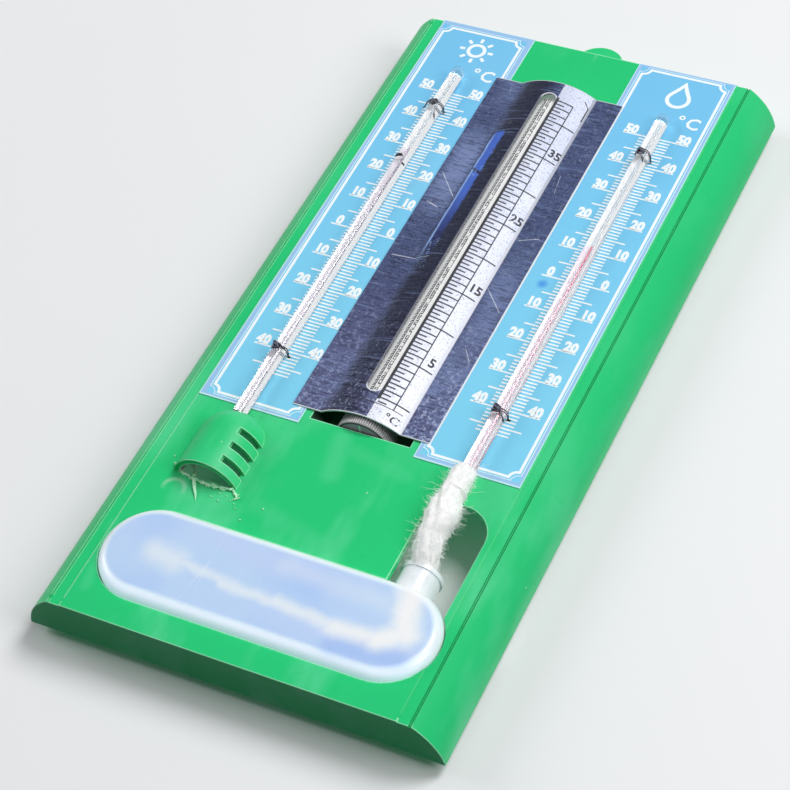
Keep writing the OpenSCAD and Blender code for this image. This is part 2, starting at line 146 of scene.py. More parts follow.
def srgb(r, g, b):  # screen values 0 to 255 to scene values
    def one(v):
        v /= 255
        return v / 12.92 if v <= 0.04045 else ((v + 0.055) / 1.055) ** 2.4
    return one(r), one(g), one(b)


class Finish(Tree):
    def __init__(self, name, **fixed):
        self.material = bpy.data.materials.new(name)
        self.material.use_nodes = True
        self.tree = self.material.node_tree
        self.tree.nodes.clear()
        self.shader = self.tree.nodes.new("ShaderNodeBsdfPrincipled")
        self.out = self.tree.nodes.new("ShaderNodeOutputMaterial")
        plug(self.tree, self.out.inputs[0], self.shader.outputs[0])
        for key, value in fixed.items():
            self.shader.inputs[key.replace("_", " ")].default_value = value
        self.shader.inputs["Subsurface Radius"].default_value = (1, 1, 1)
        coords = self.tree.nodes.new("ShaderNodeTexCoord")
        self.place = Wire(self.tree, coords.outputs["Object"])
        self.uv = Wire(self.tree, coords.outputs["UV"])

    def axes(self):  # the frame's x, y and z in millimetres
        return [part * 1000 for part in self.apart(self.place)]

    def stretched(self, sx, sy, sz):
        return self.node("ShaderNodeMapping", {}, {"Vector": self.place, "Scale": (sx, sy, sz)})

    def noise(self, scale, detail=3, rough=0.5, source=None, bend=0.0):
        return self.node("ShaderNodeTexNoise", {}, {"Vector": source or self.place, "Scale": scale,
                         "Detail": detail, "Roughness": rough, "Distortion": bend})

    def band(self, value, low, high, toLow=0.0, toHigh=1.0):
        return self.node("ShaderNodeMapRange", {"clamp": True}, {"Value": value, "From Min": low,
                         "From Max": high, "To Min": toLow, "To Max": toHigh})

    def away(self, point):
        return self.node("ShaderNodeVectorMath", {"operation": "DISTANCE"}, {0: self.place, 1: point}, 1)

    def soft(self, value, low, high):
        return self.node("ShaderNodeMapRange", {"clamp": True, "interpolation_type": "SMOOTHSTEP"},
                         {"Value": value, "From Min": low, "From Max": high})

    def blend(self, a, b, share):
        a, b = (c if isinstance(c, Wire) else tuple(c) + (1,) for c in (a, b))
        return self.node("ShaderNodeMix", {"data_type": "RGBA"}, {0: share, 6: a, 7: b}, output=2)

    def spots(self, scale, size):  # scattered dots, 1 inside
        near = self.node("ShaderNodeTexVoronoi", {"feature": "F1"}, {"Vector": self.place, "Scale": scale})
        return 1 - self.soft(near, size * 0.9, size * 1.1)

    def scratches(self, scale, turn, thin=0.012, patch=0.5, seedShift=0.0):
        # long thin lines: the edge of stretched cells, broken up by patches
        moved = self.node("ShaderNodeMapping", {}, {"Vector": self.place, "Rotation": turn,
                          "Scale": (1, 1, 0.06), "Location": (seedShift, seedShift, 0)})
        cells = self.node("ShaderNodeTexVoronoi", {"feature": "DISTANCE_TO_EDGE"},
                          {"Vector": moved, "Scale": scale})
        lines = 1 - self.band(cells, thin * 0.4, thin)
        gate = self.soft(self.noise(scale * 0.35, 2), patch, patch + 0.12)
        return lines * gate

    def stroke(self, x, z, start, end, width, inner=0.4):
        # 1 near the straight line between two (x, depth) points
        ax, az = start[0], zAt(start[1])
        dx, dz = end[0] - ax, zAt(end[1]) - az
        along = (((x - ax) * dx + (z - az) * dz) / (dx * dx + dz * dz)).clamped()
        offX, offZ = x - ax - along * dx, z - az - along * dz
        return 1 - self.soft(self.reach(offX, offZ), width * inner, width)

    def feed(self, **parts):
        for key, value in parts.items():
            plug(self.tree, self.shader.inputs[key.replace("_", " ")], value)

    def bump(self, height, distance, strength=1.0, facing=None):
        inputs = {"Height": height, "Distance": distance, "Strength": strength}
        if facing:
            inputs["Normal"] = facing
        self.feed(Normal=self.node("ShaderNodeBump", {}, inputs))

    def rounded(self, radius, samples=4):
        return self.node("ShaderNodeBevel", {"samples": samples}, {"Radius": radius})

    def reach(self, *parts):  # how far a point is off, from its parts
        return sum((part * part for part in parts[1:]), parts[0] * parts[0]) ** 0.5


def plainMesh(carrier):
    bpy.context.view_layer.update()
    deps = bpy.context.evaluated_depsgraph_get()
    return bpy.data.meshes.new_from_object(carrier.evaluated_get(deps))


class Plan(Tree):  # a geometry node tree with named inputs
    def __init__(self, name):
        self.tree = bpy.data.node_groups.new(name, "GeometryNodeTree")
        self.tree.interface.new_socket("Geometry", in_out="OUTPUT", socket_type="NodeSocketGeometry")
        self.entry = self.tree.nodes.new("NodeGroupInput")
        self.exit = self.tree.nodes.new("NodeGroupOutput")
        self.names = {}

    def input(self, name, kind, value):
        made = self.tree.interface.new_socket(name, in_out="INPUT", socket_type="NodeSocket" + kind)
        if value is not None:
            made.default_value = value
        self.names[name] = made.identifier
        return Wire(self.tree, self.entry.outputs[name])

    def finish(self, geometry, material):
        real = self.node("GeometryNodeRealizeInstances", {}, {"Geometry": geometry})
        painted = self.node("GeometryNodeSetMaterial", {}, {"Geometry": real, "Material": material})
        plug(self.tree, self.exit.inputs[0], painted)

    def make(self, name, values):
        # runs the tree on an empty mesh and returns the plain result
        carrier = newObject(name + "_plan", bpy.data.meshes.new(name + "_plan"))
        modifier = carrier.modifiers.new(name, "NODES")
        modifier.node_group = self.tree
        for key, value in values.items():
            modifier[self.names[key]] = value
        mesh = plainMesh(carrier)
        carrier.modifiers.remove(modifier)
        bpy.data.objects.remove(carrier)
        return mesh


class Sheaf:  # a growing list of vertices and faces, in millimetres
    def __init__(self):
        self.points, self.faces = [], []

    def add(self, points, faces):
        base = len(self.points)
        self.points += [tuple(p) for p in points]
        self.faces += [tuple(base + i for i in f) for f in faces]

    def line(self, route, width, thick=0.02, closed=False):
        # a flat painted stroke along (x, z) points with mitred corners
        count = len(route)
        sides = []
        for i in range(count):
            here = Vector(route[i])
            before = Vector(route[i - 1]) if closed or i > 0 else None
            after = Vector(route[(i + 1) % count]) if closed or i < count - 1 else None
            way = Vector((0, 0))
            for start, end in ((before, here), (here, after)):
                if start is not None and end is not None:
                    way += (end - start).normalized()
            way = way.normalized() if way.length > 1e-9 else (after - here).normalized()
            across = Vector((-way.y, way.x))
            lean = 1.0
            if before is not None and after is not None:
                lean = max(0.5, abs(across.dot(Vector((-(after - here).y, (after - here).x)).normalized())))
            sides.append(across * (width / 2 / lean))
        points = [(x + way * side.x, y, z + way * side.y) for (x, z), side in zip(route, sides)
                  for y in (-thick, 0.0) for way in (1, -1)]
        faces = []
        for i in range(count if closed else count - 1):
            a, b = 4 * i, 4 * ((i + 1) % count)
            faces += [(a, a + 1, b + 1, b), (a + 2, b + 2, b + 3, a + 3), (a, b, b + 2, a + 2),
                      (a + 1, a + 3, b + 3, b + 1)]
        if not closed:
            last = 4 * (count - 1)
            faces += [(0, 2, 3, 1), (last, last + 1, last + 3, last + 2)]
        self.add(points, faces)

    def word(self, text, x, z, size, thick=0.02, bold=0.0, squeeze=1.0):
        # generic figures in the built-in face, centred on x, standing on z
        curve = bpy.data.curves.new("figures", "FONT")
        curve.body, curve.size, curve.align_x = text, size, "CENTER"
        curve.extrude, curve.offset, curve.resolution_u = thick / 2, bold, 2
        carrier = newObject("figures", curve)
        mesh = plainMesh(carrier)
        self.add([(x + v.co.x * squeeze, -thick / 2 - v.co.z, z + v.co.y) for v in mesh.vertices],
                 [tuple(p.vertices) for p in mesh.polygons])
        bpy.data.objects.remove(carrier)
        bpy.data.curves.remove(curve)
        bpy.data.meshes.remove(mesh)

    def mesh(self, mesh):
        self.add([tuple(v.co) for v in mesh.vertices], [tuple(p.vertices) for p in mesh.polygons])

    def moved(self, change):
        self.points = [tuple(change(Vector(p))) for p in self.points]
        return self


def cord(sheaf, spine, radii, sides):
    # a closed round cord along the points; its frame is carried on without twist
    count = len(spine)
    side = (spine[1] - spine[0]).orthogonal().normalized()
    ring = []
    for j, p in enumerate(spine):
        way = (spine[min(j + 1, count - 1)] - spine[max(j - 1, 0)]).normalized()
        side = (side - way * side.dot(way)).normalized()
        other = way.cross(side)
        for k in range(sides):
            a = 2 * math.pi * k / sides
            ring.append(p + radii[j] * (math.cos(a) * side + math.sin(a) * other))
    last = sides * (count - 1)
    faces = [tuple(range(sides))[::-1], tuple(range(last, last + sides))]
    for j in range(count - 1):
        for k in range(sides):
            a, b = j * sides + k, j * sides + (k + 1) % sides
            faces.append((a, b, b + sides, a + sides))
    sheaf.add(ring, faces)


def faceOutwards(mesh, merge=False):
    work = bmesh.new()
    work.from_mesh(mesh)
    if merge:
        bmesh.ops.remove_doubles(work, verts=work.verts, dist=2e-7)
    bmesh.ops.recalc_face_normals(work, faces=work.faces)
    work.to_mesh(mesh)
    work.free()


def makePiece(name, sheaf, finish, body, stands=(), smooth=False, merge=True):
    mesh = bpy.data.meshes.new(name)
    mesh.from_pydata([(x * mm, y * mm, z * mm) for x, y, z in sheaf.points], [], sheaf.faces)
    faceOutwards(mesh, merge)
    mesh.validate()
    return settle(name, mesh, finish, body, stands, smooth)


def settle(name, mesh, finish, body, stands=(), smooth=False):
    piece = newObject(name, mesh)
    mesh.materials.append(finish.material)
    mesh.polygons.foreach_set("use_smooth", [smooth] * len(mesh.polygons))
    if body:
        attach(piece, body)
    if stands:
        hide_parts(*stands)
    return piece


def dress(node, finish):
    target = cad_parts[node]
    for place in range(len(target.material_slots)):
        target.material_slots[place].material = finish.material
    if not target.material_slots:
        target.data.materials.append(finish.material)


printFrames = {  # the printed frame of each label: left, right, depth of its two lines, lean
    "dry": {"left": -45.4, "right": -19.7, "high": 2.8, "low": 157.4, "lean": 0.0063},
    "wet": {"left": 19.1, "right": 45.1, "high": 1.9, "low": 157.0, "lean": 0.0},
}


def mouldedGreen():
    look = {"green": srgb(38, 202, 122), "deep": srgb(20, 180, 102), "pale": srgb(92, 216, 154),
            "rim": srgb(178, 250, 208), "dark": srgb(6, 34, 24), "dustAndHighlight": srgb(190, 234, 208),
            "groove": srgb(8, 122, 70), "grooveX": 50.85, "rimWidth": 0.0007,
            "gate": (-38.0, 190.5, 3.0),  # x, depth, radius
            "guard": (-31.4, -10.7, 171.5, 185.1),  # its axis in x and y, crown and mouth in depth
            "well": (14.75, 21.15, 156.9),  # half its width, upper and lower end in depth
            # pale smears: x and depth of both ends, half width, strength
            "thumbed": [((-3.5, 160), (-1.0, 172), 4.5, 0.4), ((2, 163), (18, 166), 3.5, 0.22),
                        ((-14, 188), (6, 193), 4.0, 0.2), ((-47, 206), (-44, 226), 2.5, 0.3)]}
    f = Finish("green_moulding", IOR=1.49, Specular_IOR_Level=0.16, Coat_Weight=0.02,
               Coat_Roughness=0.22)
    x, y, z = f.axes()
    cloudy = f.noise(12, 3, 0.5)
    smears = f.noise(26, 3, 0.55, source=f.stretched(2.2, 2.2, 0.8))
    fine = f.noise(520, 2, 0.6)
    base = f.blend(look["green"], look["deep"], f.soft(cloudy, 0.46, 0.72) * 0.35)
    lower = f.band(z, zAt(130), zAt(180), 0.2, 0.7)
    base = f.blend(base, look["pale"], f.soft(smears, 0.46, 0.68) * lower)
    base = f.blend(base, look["deep"], f.soft(fine, 0.58, 0.74) * 0.12)
    # ring left by the mould's gate, painted pale on its upper arc as a highlight
    gx, gd, gr = look["gate"]
    off = f.reach(x - gx, z - zAt(gd))
    front = y < -12.6
    gate = (1 - f.soft(abs(off - gr), 0.1, 1.0)) * front * f.band(z, zAt(192), zAt(189))
    base = f.blend(base, look["dustAndHighlight"], gate * 0.4)
    for start, end, width, strength in look["thumbed"]:
        base = f.blend(base, look["pale"], f.stroke(x, z, start, end, width, 0.1) * strength)
    specks = f.spots(150, 0.045) * f.soft(f.noise(30, 2), 0.54, 0.64)
    marks = f.scratches(70, (0.6, 1.2, 0.2), 0.006, 0.6, 3.1)
    base = f.blend(base, look["dustAndHighlight"], (specks * 0.5).most(marks * 0.25))
    # painted highlight: a pale rim colour on the cut edges, found with rounded normals, which also round
    # their shading a little; the joins between the moulded parts get none
    plain = f.node("ShaderNodeNewGeometry", output="Normal")
    rounded = f.rounded(look["rimWidth"], samples=6)
    edge = 1 - f.node("ShaderNodeVectorMath", {"operation": "DOT_PRODUCT"}, {0: rounded, 1: plain}, 1)
    fromGroove = abs(abs(x) - look["grooveX"])
    onRight = x > 0  # painted shade in the grooves, wider and darker on the right one; the left one keeps its painted edge highlight
    groove = 1 - f.soft(fromGroove - onRight * 0.16, 0.2, 0.32)
    join = f.soft(abs(z - zAt(2)), 0.4, 0.7) * f.soft(abs(z - zAt(232)), 0.4, 0.7)
    byRightGroove = f.band(x, 45.5, 46) * f.band(x, 52.4, 52.1)
    shown = f.band(y, -11.6, -12.4, 0.25, 1.0) * (1 - byRightGroove * 0.9)
    shown = shown.most(f.band(z, zAt(232.6), zAt(233)))
    rim = f.soft(edge + fine * 0.03, 0.04, 0.14) * join * (1 - groove) * shown
    base = f.blend(base, look["groove"], groove * front * (0.8 + onRight * 0.15))
    lip = (z < zAt(184.9)) * (z > zAt(185.4)) * (y < -13.05)  # rough mouth of the bulb guard: its downward end face gets mottled painted shade
    base = f.blend(base, look["deep"], lip * (0.5 + fine * 0.5).clamped())
    base = f.blend(base, look["rim"], rim * 0.9)
    # painted shade: the drum's well and the inside of the guard are painted near black
    wellHalf, wellTop, wellFoot = look["well"]
    well = f.band(y, -12.95, -12.3) * (abs(x) < wellHalf) * (z > zAt(wellFoot)) * (z < zAt(wellTop))
    guardX, guardY, crown, mouth = look["guard"]
    fromAxis = f.reach(x - guardX, y - guardY, (z - zAt(crown)).most(0))
    under = (1 - f.band(fromAxis, 8.25, 8.5)) * (z > zAt(mouth))
    base = f.blend(base, look["dark"], well.most(under) * 0.88)
    f.feed(Base_Color=base, Roughness=(0.3 + cloudy * 0.12 + fine * 0.08 + marks * 0.15).clamped())
    share = join * 0.35 * (1 - onRight * (fromGroove < 1.2))
    facing = f.node("ShaderNodeMix", {"data_type": "VECTOR"}, {0: share, 4: plain, 5: rounded}, output=1)
    height = f.noise(700, 2, 0.5) * 0.5 + cloudy * 1.5 + specks * 0.8 - marks * 0.5
    f.bump(height, 0.00003, 0.5, facing)
    return f


def labelFoil(side, smudge=None):
    look = {"blue": srgb(118, 196, 238), "low": srgb(128, 210, 242), "strip": srgb(158, 196, 236),
            "pale": srgb(176, 222, 242), "cut": srgb(206, 244, 250), "smudge": srgb(40, 130, 220),
            "worn": srgb(205, 232, 244)}
    edges = printFrames[side]
    f = Finish("label_foil_" + side, IOR=1.45, Specular_IOR_Level=0.25, Coat_Weight=0.06,
               Coat_Roughness=0.25)
    x, y, z = f.axes()
    across = x - (zAt(0) - z) * edges["lean"]
    tone = f.noise(22, 3, 0.5)
    grain = f.noise(900, 2, 0.6)
    base = f.blend(look["low"], look["blue"], f.band(z, zAt(130), zAt(20)))
    base = f.blend(base, look["pale"], f.soft(tone, 0.5, 0.8) * 0.25)
    base = f.blend(base, look["pale"], f.soft(grain, 0.6, 0.75) * 0.15)
    # the strip outside the printed frame is paler, and so are the cut edges
    outside = (across < edges["left"] - 1.0).most(across > edges["right"] + 1.0)
    outside = outside.most(z > zAt(edges["high"] - 1.0)).most(z < zAt(edges["low"] + 1.0))
    base = f.blend(base, look["strip"], outside * 0.85)
    fromMiddle = abs(abs(x) - 32.0)
    cut = f.band(fromMiddle, 14.75, 14.95).most(f.band(z, zAt(158.9), zAt(159.1)))
    cut = cut.most(f.band(z, zAt(0.4), zAt(0.2)))
    base = f.blend(base, look["cut"], cut * 0.8)
    if smudge:
        spot = 1 - f.soft(f.away(smudge) * 1000 + f.noise(260, 3, 0.6) * 1.6, 0.9, 3.0)
        base = f.blend(base, look["smudge"], spot * 0.75)
    marks = f.scratches(90, (0.1, 0.8, 0.4), 0.008, 0.6, 1.3)
    base = f.blend(base, look["worn"], marks * 0.3)
    f.feed(Base_Color=base, Roughness=(0.36 + tone * 0.15 + marks * 0.2).clamped())
    f.bump(f.noise(160, 3, 0.5) * 1.2 + grain * 0.25 - marks * 0.5, 0.00003, 0.4)
    return f


def paint(name, colour, worn, wear=0.3, rough=0.45):
    f = Finish(name, IOR=1.45)
    patch = f.noise(500, 3, 0.6)
    grain = f.noise(2600, 2, 0.6)
    base = f.blend(colour, worn, f.soft(patch, 0.5, 0.75) * wear)
    base = f.blend(base, worn, f.soft(grain, 0.56, 0.7) * wear * 0.7)
    f.feed(Base_Color=base, Roughness=(rough + patch * 0.15).clamped())
    f.bump(grain, 0.00001, 0.4)
    return f


def clearGlass():
    look = {"clear": (0.99, 0.995, 1.0), "hazy": (0.94, 0.96, 0.98)}
    f = Finish("thermometer_glass", IOR=1.5, Transmission_Weight=1.0, Coat_Weight=0.1)
    haze = f.noise(60, 3, 0.6, source=f.stretched(1, 1, 0.2))
    specks = f.spots(500, 0.03)
    f.feed(Base_Color=f.blend(look["clear"], look["hazy"], f.soft(haze, 0.5, 0.8)),
           Roughness=(0.01 + f.soft(haze, 0.6, 0.8) * 0.02 + specks * 0.15).clamped())
    f.bump(haze, 0.00001, 0.15)
    return f


def enamelWhite(name, tint, below):
    # painted light: the white strip inside the glass is tinted with the colour of the spirit standing beside
    # it
    look = {"white": (0.95, 0.95, 0.95), "streak": (0.84, 0.86, 0.89)}
    f = Finish(name, IOR=1.5)
    z = f.axes()[2]
    streaks = f.noise(500, 3, 0.6, source=f.stretched(1, 1, 0.05))
    base = f.blend(look["white"], look["streak"], f.soft(streaks, 0.5, 0.8))
    base = f.blend(base, tint, (z < zAt(below)) * 0.7)
    f.feed(Base_Color=base, Roughness=(0.25 + streaks * 0.1).clamped())
    return f


def spirit(name, full, thin, broken):
    f = Finish(name, IOR=1.36, Coat_Weight=0.3)
    z = f.axes()[2]
    faded = f.noise(90, 2, 0.5, source=f.stretched(1, 1, 0.3))
    beads = f.soft(abs((z + faded * 0.6) % 1.2 - 0.6), 0.2, 0.4) * broken
    f.feed(Base_Color=f.blend(full, thin, f.soft(faded, 0.4, 0.7).most(beads)),
           Roughness=(0.12 + faded * 0.1).clamped())
    return f


def tieWire():
    look = {"lacquer": srgb(8, 8, 44), "worn": srgb(84, 96, 190)}
    f = Finish("lacquered_wire", IOR=1.5, Coat_Weight=0.7, Coat_Roughness=0.1)
    worn = f.soft(f.noise(1500, 3, 0.6), 0.58, 0.7)
    f.feed(Base_Color=f.blend(look["lacquer"], look["worn"], worn * 0.6), Metallic=worn * 0.5,
           Roughness=(0.2 + worn * 0.2).clamped())
    return f


hump = {"x": -1.0, "y": 3.514, "r": 20.814}  # the cover's arc, as in the solid


def coverSheet():
    # dark lacquered aluminium brushed across, single scratches, a strip of blue film left on it
    look = {"dark": srgb(68, 80, 118), "warm": srgb(78, 72, 106), "black": srgb(16, 18, 38),
            "bright": srgb(124, 140, 184), "cut": srgb(236, 238, 246), "fleck": srgb(162, 170, 200),
            "film": srgb(72, 110, 206), "filmEdge": srgb(156, 190, 248), "filmLow": srgb(28, 36, 88),
            "bare": srgb(222, 225, 232), "filmFrom": -11.7, "filmTo": -8.6,
            # x and depth of both ends, width
            "scratches": [((-19.6, 61.3), (-11.9, 70.4), 0.17), ((-19.5, 95.8), (-8.3, 94.9), 0.2),
                          ((11.4, 99.0), (17.8, 106.0), 0.2), ((12.1, 79.3), (17.2, 77.0), 0.18),
                          ((-18.9, 73.4), (-15.2, 74.8), 0.3), ((13.2, 52.0), (14.2, 59.0), 0.1),
                          ((14.6, 121.0), (17.4, 125.0), 0.14)],
            "slot": (-1.15, 143.05, 26.75, 2.35)}  # x, depth of both round ends, half width
    f = Finish("dark_lacquered_sheet", IOR=1.5, Specular_IOR_Level=0.15, Coat_Weight=0.04,
               Coat_Roughness=0.24)
    x, y, z = f.axes()
    brushed = f.noise(1500, 3, 0.65, source=f.stretched(0.14, 0.14, 1))
    longer = f.noise(800, 3, 0.6, source=f.stretched(0.08, 0.08, 1))
    patches = f.noise(60, 4, 0.6)
    speckle = f.noise(2400, 2, 0.7)
    # painted dark reflection: the hump's left flank is blended towards near black, with fewer pale flecks
    left = 1 - f.soft(x, -4.5, 1.0)
    darkReflection = f.soft(x, -12.8, -9.0) * left
    base = f.blend(look["dark"], look["warm"], f.band(z, zAt(90), zAt(150)) * 0.8)
    # worn paler on the flanges where hands hold it
    wornLeft = f.band(abs(z - zAt(60)), 22, 8) * f.band(abs(x + 16), 5.5, 2)
    wornRight = f.band(abs(z - zAt(108)), 34, 10) * f.band(abs(x - 15), 5, 2)
    wornTop = f.band(z, zAt(34), zAt(24)) * f.band(abs(x + 15), 5, 2)
    worn = wornLeft.most(wornRight * 0.7).most(wornTop * 0.5)
    base = f.blend(base, look["bright"], worn * f.soft(patches + brushed * 0.6, 0.5, 0.85) * 0.85)
    base = f.blend(base, look["bright"], f.soft(patches, 0.56, 0.78) * (1 - darkReflection) * 0.22)
    lowWear = f.band(z, zAt(108), zAt(146)) * f.band(x, 2, 11, 0.6, 1.1)
    coarse = f.noise(1000, 2, 0.75)
    base = f.blend(base, look["bright"], lowWear * f.soft(patches + coarse * 0.8, 0.62, 1.05) * 0.9)
    base = f.blend(base, look["black"], darkReflection * (0.86 - lowWear * 0.3))
    base = f.blend(base, look["black"], f.soft(brushed, 0.5, 0.6) * (0.5 + darkReflection * 0.4).clamped())
    base = f.blend(base, look["bright"], f.soft(longer, 0.56, 0.66) * (0.4 - darkReflection * 0.1))
    base = f.blend(base, look["fleck"], f.soft(speckle, 0.6, 0.7) * (0.45 - darkReflection * 0.35))
    inLow = 0.16 + lowWear * 0.6 - darkReflection * 0.12
    base = f.blend(base, look["fleck"], f.soft(coarse, 0.56, 0.64) * inLow)
    # painted highlight along the film's left edge; the film frays at its lower end
    ragged = f.noise(380, 3, 0.6) * 2 - 1
    filmFrom, filmTo = look["filmFrom"], look["filmTo"]
    slanted = f.band(z, zAt(46), zAt(41)) * -0.9
    film = f.band(x + ragged * 0.5 + slanted, filmFrom - 0.1, filmFrom + 0.1)
    film = film * (1 - f.band(x + ragged * 0.8, filmTo, filmTo + 0.6))
    film = film * f.band(z + ragged * 4, zAt(97), zAt(88))
    film = film * (1 - f.band(z + ragged * 0.4, zAt(42.5), zAt(41.5)))
    tear = f.band(abs(z - zAt(59) + (x + 10) * 0.8 + ragged * 0.5), 0.3, 0.8)
    tone = f.blend(look["film"], look["filmLow"], f.band(z + ragged * 6, zAt(68), zAt(86)))
    tone = f.blend(tone, look["filmEdge"], 1 - f.band(x + ragged * 0.3, filmFrom + 0.35, filmFrom + 0.9))
    base = f.blend(base, tone, film * tear * 0.95)
    ends = f.band(abs(z - zAt(94)), 9, 5).most(f.band(abs(z - zAt(59.5)), 3.4, 1.2))
    crinkle = f.soft(f.noise(900, 3, 0.7, bend=1.5), 0.56, 0.64) * ends * f.band(abs(x + 9.9), 2.4, 1.4)
    base = f.blend(base, look["filmEdge"], crinkle * 0.8)
    marks = f.scratches(420, (0, 1.5, 0), 0.012, 0.6, 5.0) * 0.5
    for start, end, width in look["scratches"]:
        marks = marks.most(f.stroke(x, z, start, end, width) * f.soft(speckle + longer, 0.7, 1.1))
    base = f.blend(base, look["cut"], marks * 0.55)
    # bare cut metal round the slot and along the hump's right foot
    slotX, lowEnd, highEnd, slotHalf = look["slot"]
    toEnd = (z - zAt(lowEnd)).least(0) + (z - zAt(highEnd)).most(0)
    slotEdge = f.reach(x - slotX, toEnd) - slotHalf
    atEnd = f.band(abs(toEnd), 0.2, 1.2)
    rim = (1 - f.band(slotEdge, 0.24, 0.42)) * (0.25 + atEnd * 0.75)
    foot = (1 - f.band(abs(x - 10.65), 0.3, 0.5)) * f.band(z, zAt(40), zAt(110), 0.5, 1.0)
    lowCut, highCut = f.band(z, zAt(154.0), zAt(154.12)), f.band(z, zAt(19.6), zAt(19.45)) * 0.8
    rim = rim.most(foot).most(lowCut).most(highCut)
    base = f.blend(base, look["cut"], rim * 0.9)
    # the hump's inner side is bare and throws light on the paper
    inner = (f.reach(x - hump["x"], y - hump["y"]) < 20.5) * (abs(x - hump["x"]) < 11)
    base = f.blend(base, look["bare"], inner * 0.9)
    f.feed(Base_Color=base, Metallic=(0.12 + marks * 0.3 - film * 0.4 - rim * 0.1).clamped(),
           Roughness=(0.34 + patches * 0.15 + f.soft(brushed, 0.5, 0.7) * 0.12 + marks * 0.1).clamped())
    f.bump(brushed * 0.8 + longer * 0.5 + patches * 3 - marks * 1.5 + film * 2, 0.00002, 0.5,
           f.rounded(0.00012))
    return f


def printedSilver():
    look = {"upper": srgb(204, 210, 230), "lower": srgb(236, 237, 246), "patch": srgb(226, 229, 240),
            "worn": srgb(112, 118, 150)}
    f = Finish("silver_print", IOR=1.45, Specular_IOR_Level=0.3)
    z = f.axes()[2]
    grain = f.noise(1700, 3, 0.7)
    patch = f.noise(120, 3, 0.6)
    worn = f.soft(grain, 0.53, 0.64)
    base = f.blend(look["upper"], look["lower"], f.band(z, zAt(40), zAt(145)) * 0.7)
    base = f.blend(base, look["patch"], f.soft(patch, 0.45, 0.75) * 0.6)
    base = f.blend(base, look["worn"], worn * 0.6)
    f.feed(Base_Color=base, Metallic=(0.12 + worn * 0.2).clamped(),
           Roughness=(0.42 + grain * 0.15).clamped())
    f.bump(grain, 0.000012, 0.6)
    return f


def cardboard():
    look = {"pale": srgb(176, 166, 142), "fibre": srgb(140, 128, 104)}
    f = Finish("rolled_card", IOR=1.4)
    fibres = f.noise(500, 4, 0.7, source=f.stretched(0.3, 0.3, 1))
    base = f.blend(look["pale"], look["fibre"], f.soft(fibres, 0.45, 0.7))
    f.feed(Base_Color=base, Roughness=(0.8 + fibres * 0.1).clamped())
    f.bump(fibres, 0.00006, 0.5)
    return f


def tablePaper():
    look = {"white": srgb(253, 253, 252), "tone": srgb(240, 238, 236), "fibre": srgb(226, 224, 226)}
    # the faint white glow is painted light that lifts the paper in the cover's shade
    f = Finish("printed_paper", IOR=1.45, Emission_Color=(1, 1, 1, 1), Emission_Strength=0.1)
    tone = f.noise(40, 3, 0.6)
    fibres = f.noise(1500, 4, 0.7)
    base = f.blend(look["white"], look["tone"], f.soft(tone, 0.5, 0.8))
    base = f.blend(base, look["fibre"], f.soft(fibres, 0.62, 0.78) * 0.35)
    f.feed(Base_Color=base, Roughness=(0.62 + fibres * 0.15).clamped())
    f.bump(fibres, 0.00002, 0.4)
    return f


def darkPlastic(name, ribs=False):
    look = {"dark": srgb(76, 77, 82), "tone": srgb(108, 110, 116), "grit": srgb(168, 170, 178),
            "groove": srgb(22, 22, 26), "rib": srgb(214, 212, 214), "below": srgb(212, 150, 190)}
    f = Finish(name, IOR=1.47)
    x, y, z = f.axes()
    tone = f.noise(90, 4, 0.6)
    grit = f.noise(900, 3, 0.65)
    base = f.blend(look["dark"], look["tone"], f.soft(tone, 0.45, 0.75) * 0.6)
    if ribs:  # rubbed pale on the ribs; the lower face is painted a light pinkish grey, painted light for the light it lacks in the well
        out = f.reach(x, y - drumY)
        onRibs = f.band(out, 7.5, 7.74)
        base = f.blend(base, look["groove"], f.band(out, 7.3, 7.45))
        base = f.blend(base, look["rib"], onRibs * (0.7 + grit * 0.3).clamped())
        lowFaceLight = 1 - f.band(z, zAt(156.25), zAt(156.1))
        base = f.blend(base, look["below"], lowFaceLight * (1 - f.band(out, 6.9, 7.3)))
    base = f.blend(base, look["grit"], f.soft(grit, 0.64, 0.78) * 0.3)
    f.feed(Base_Color=base, Roughness=(0.42 + grit * 0.2).clamped())
    f.bump(grit, 0.00003, 0.5, f.rounded(0.00012))
    return f


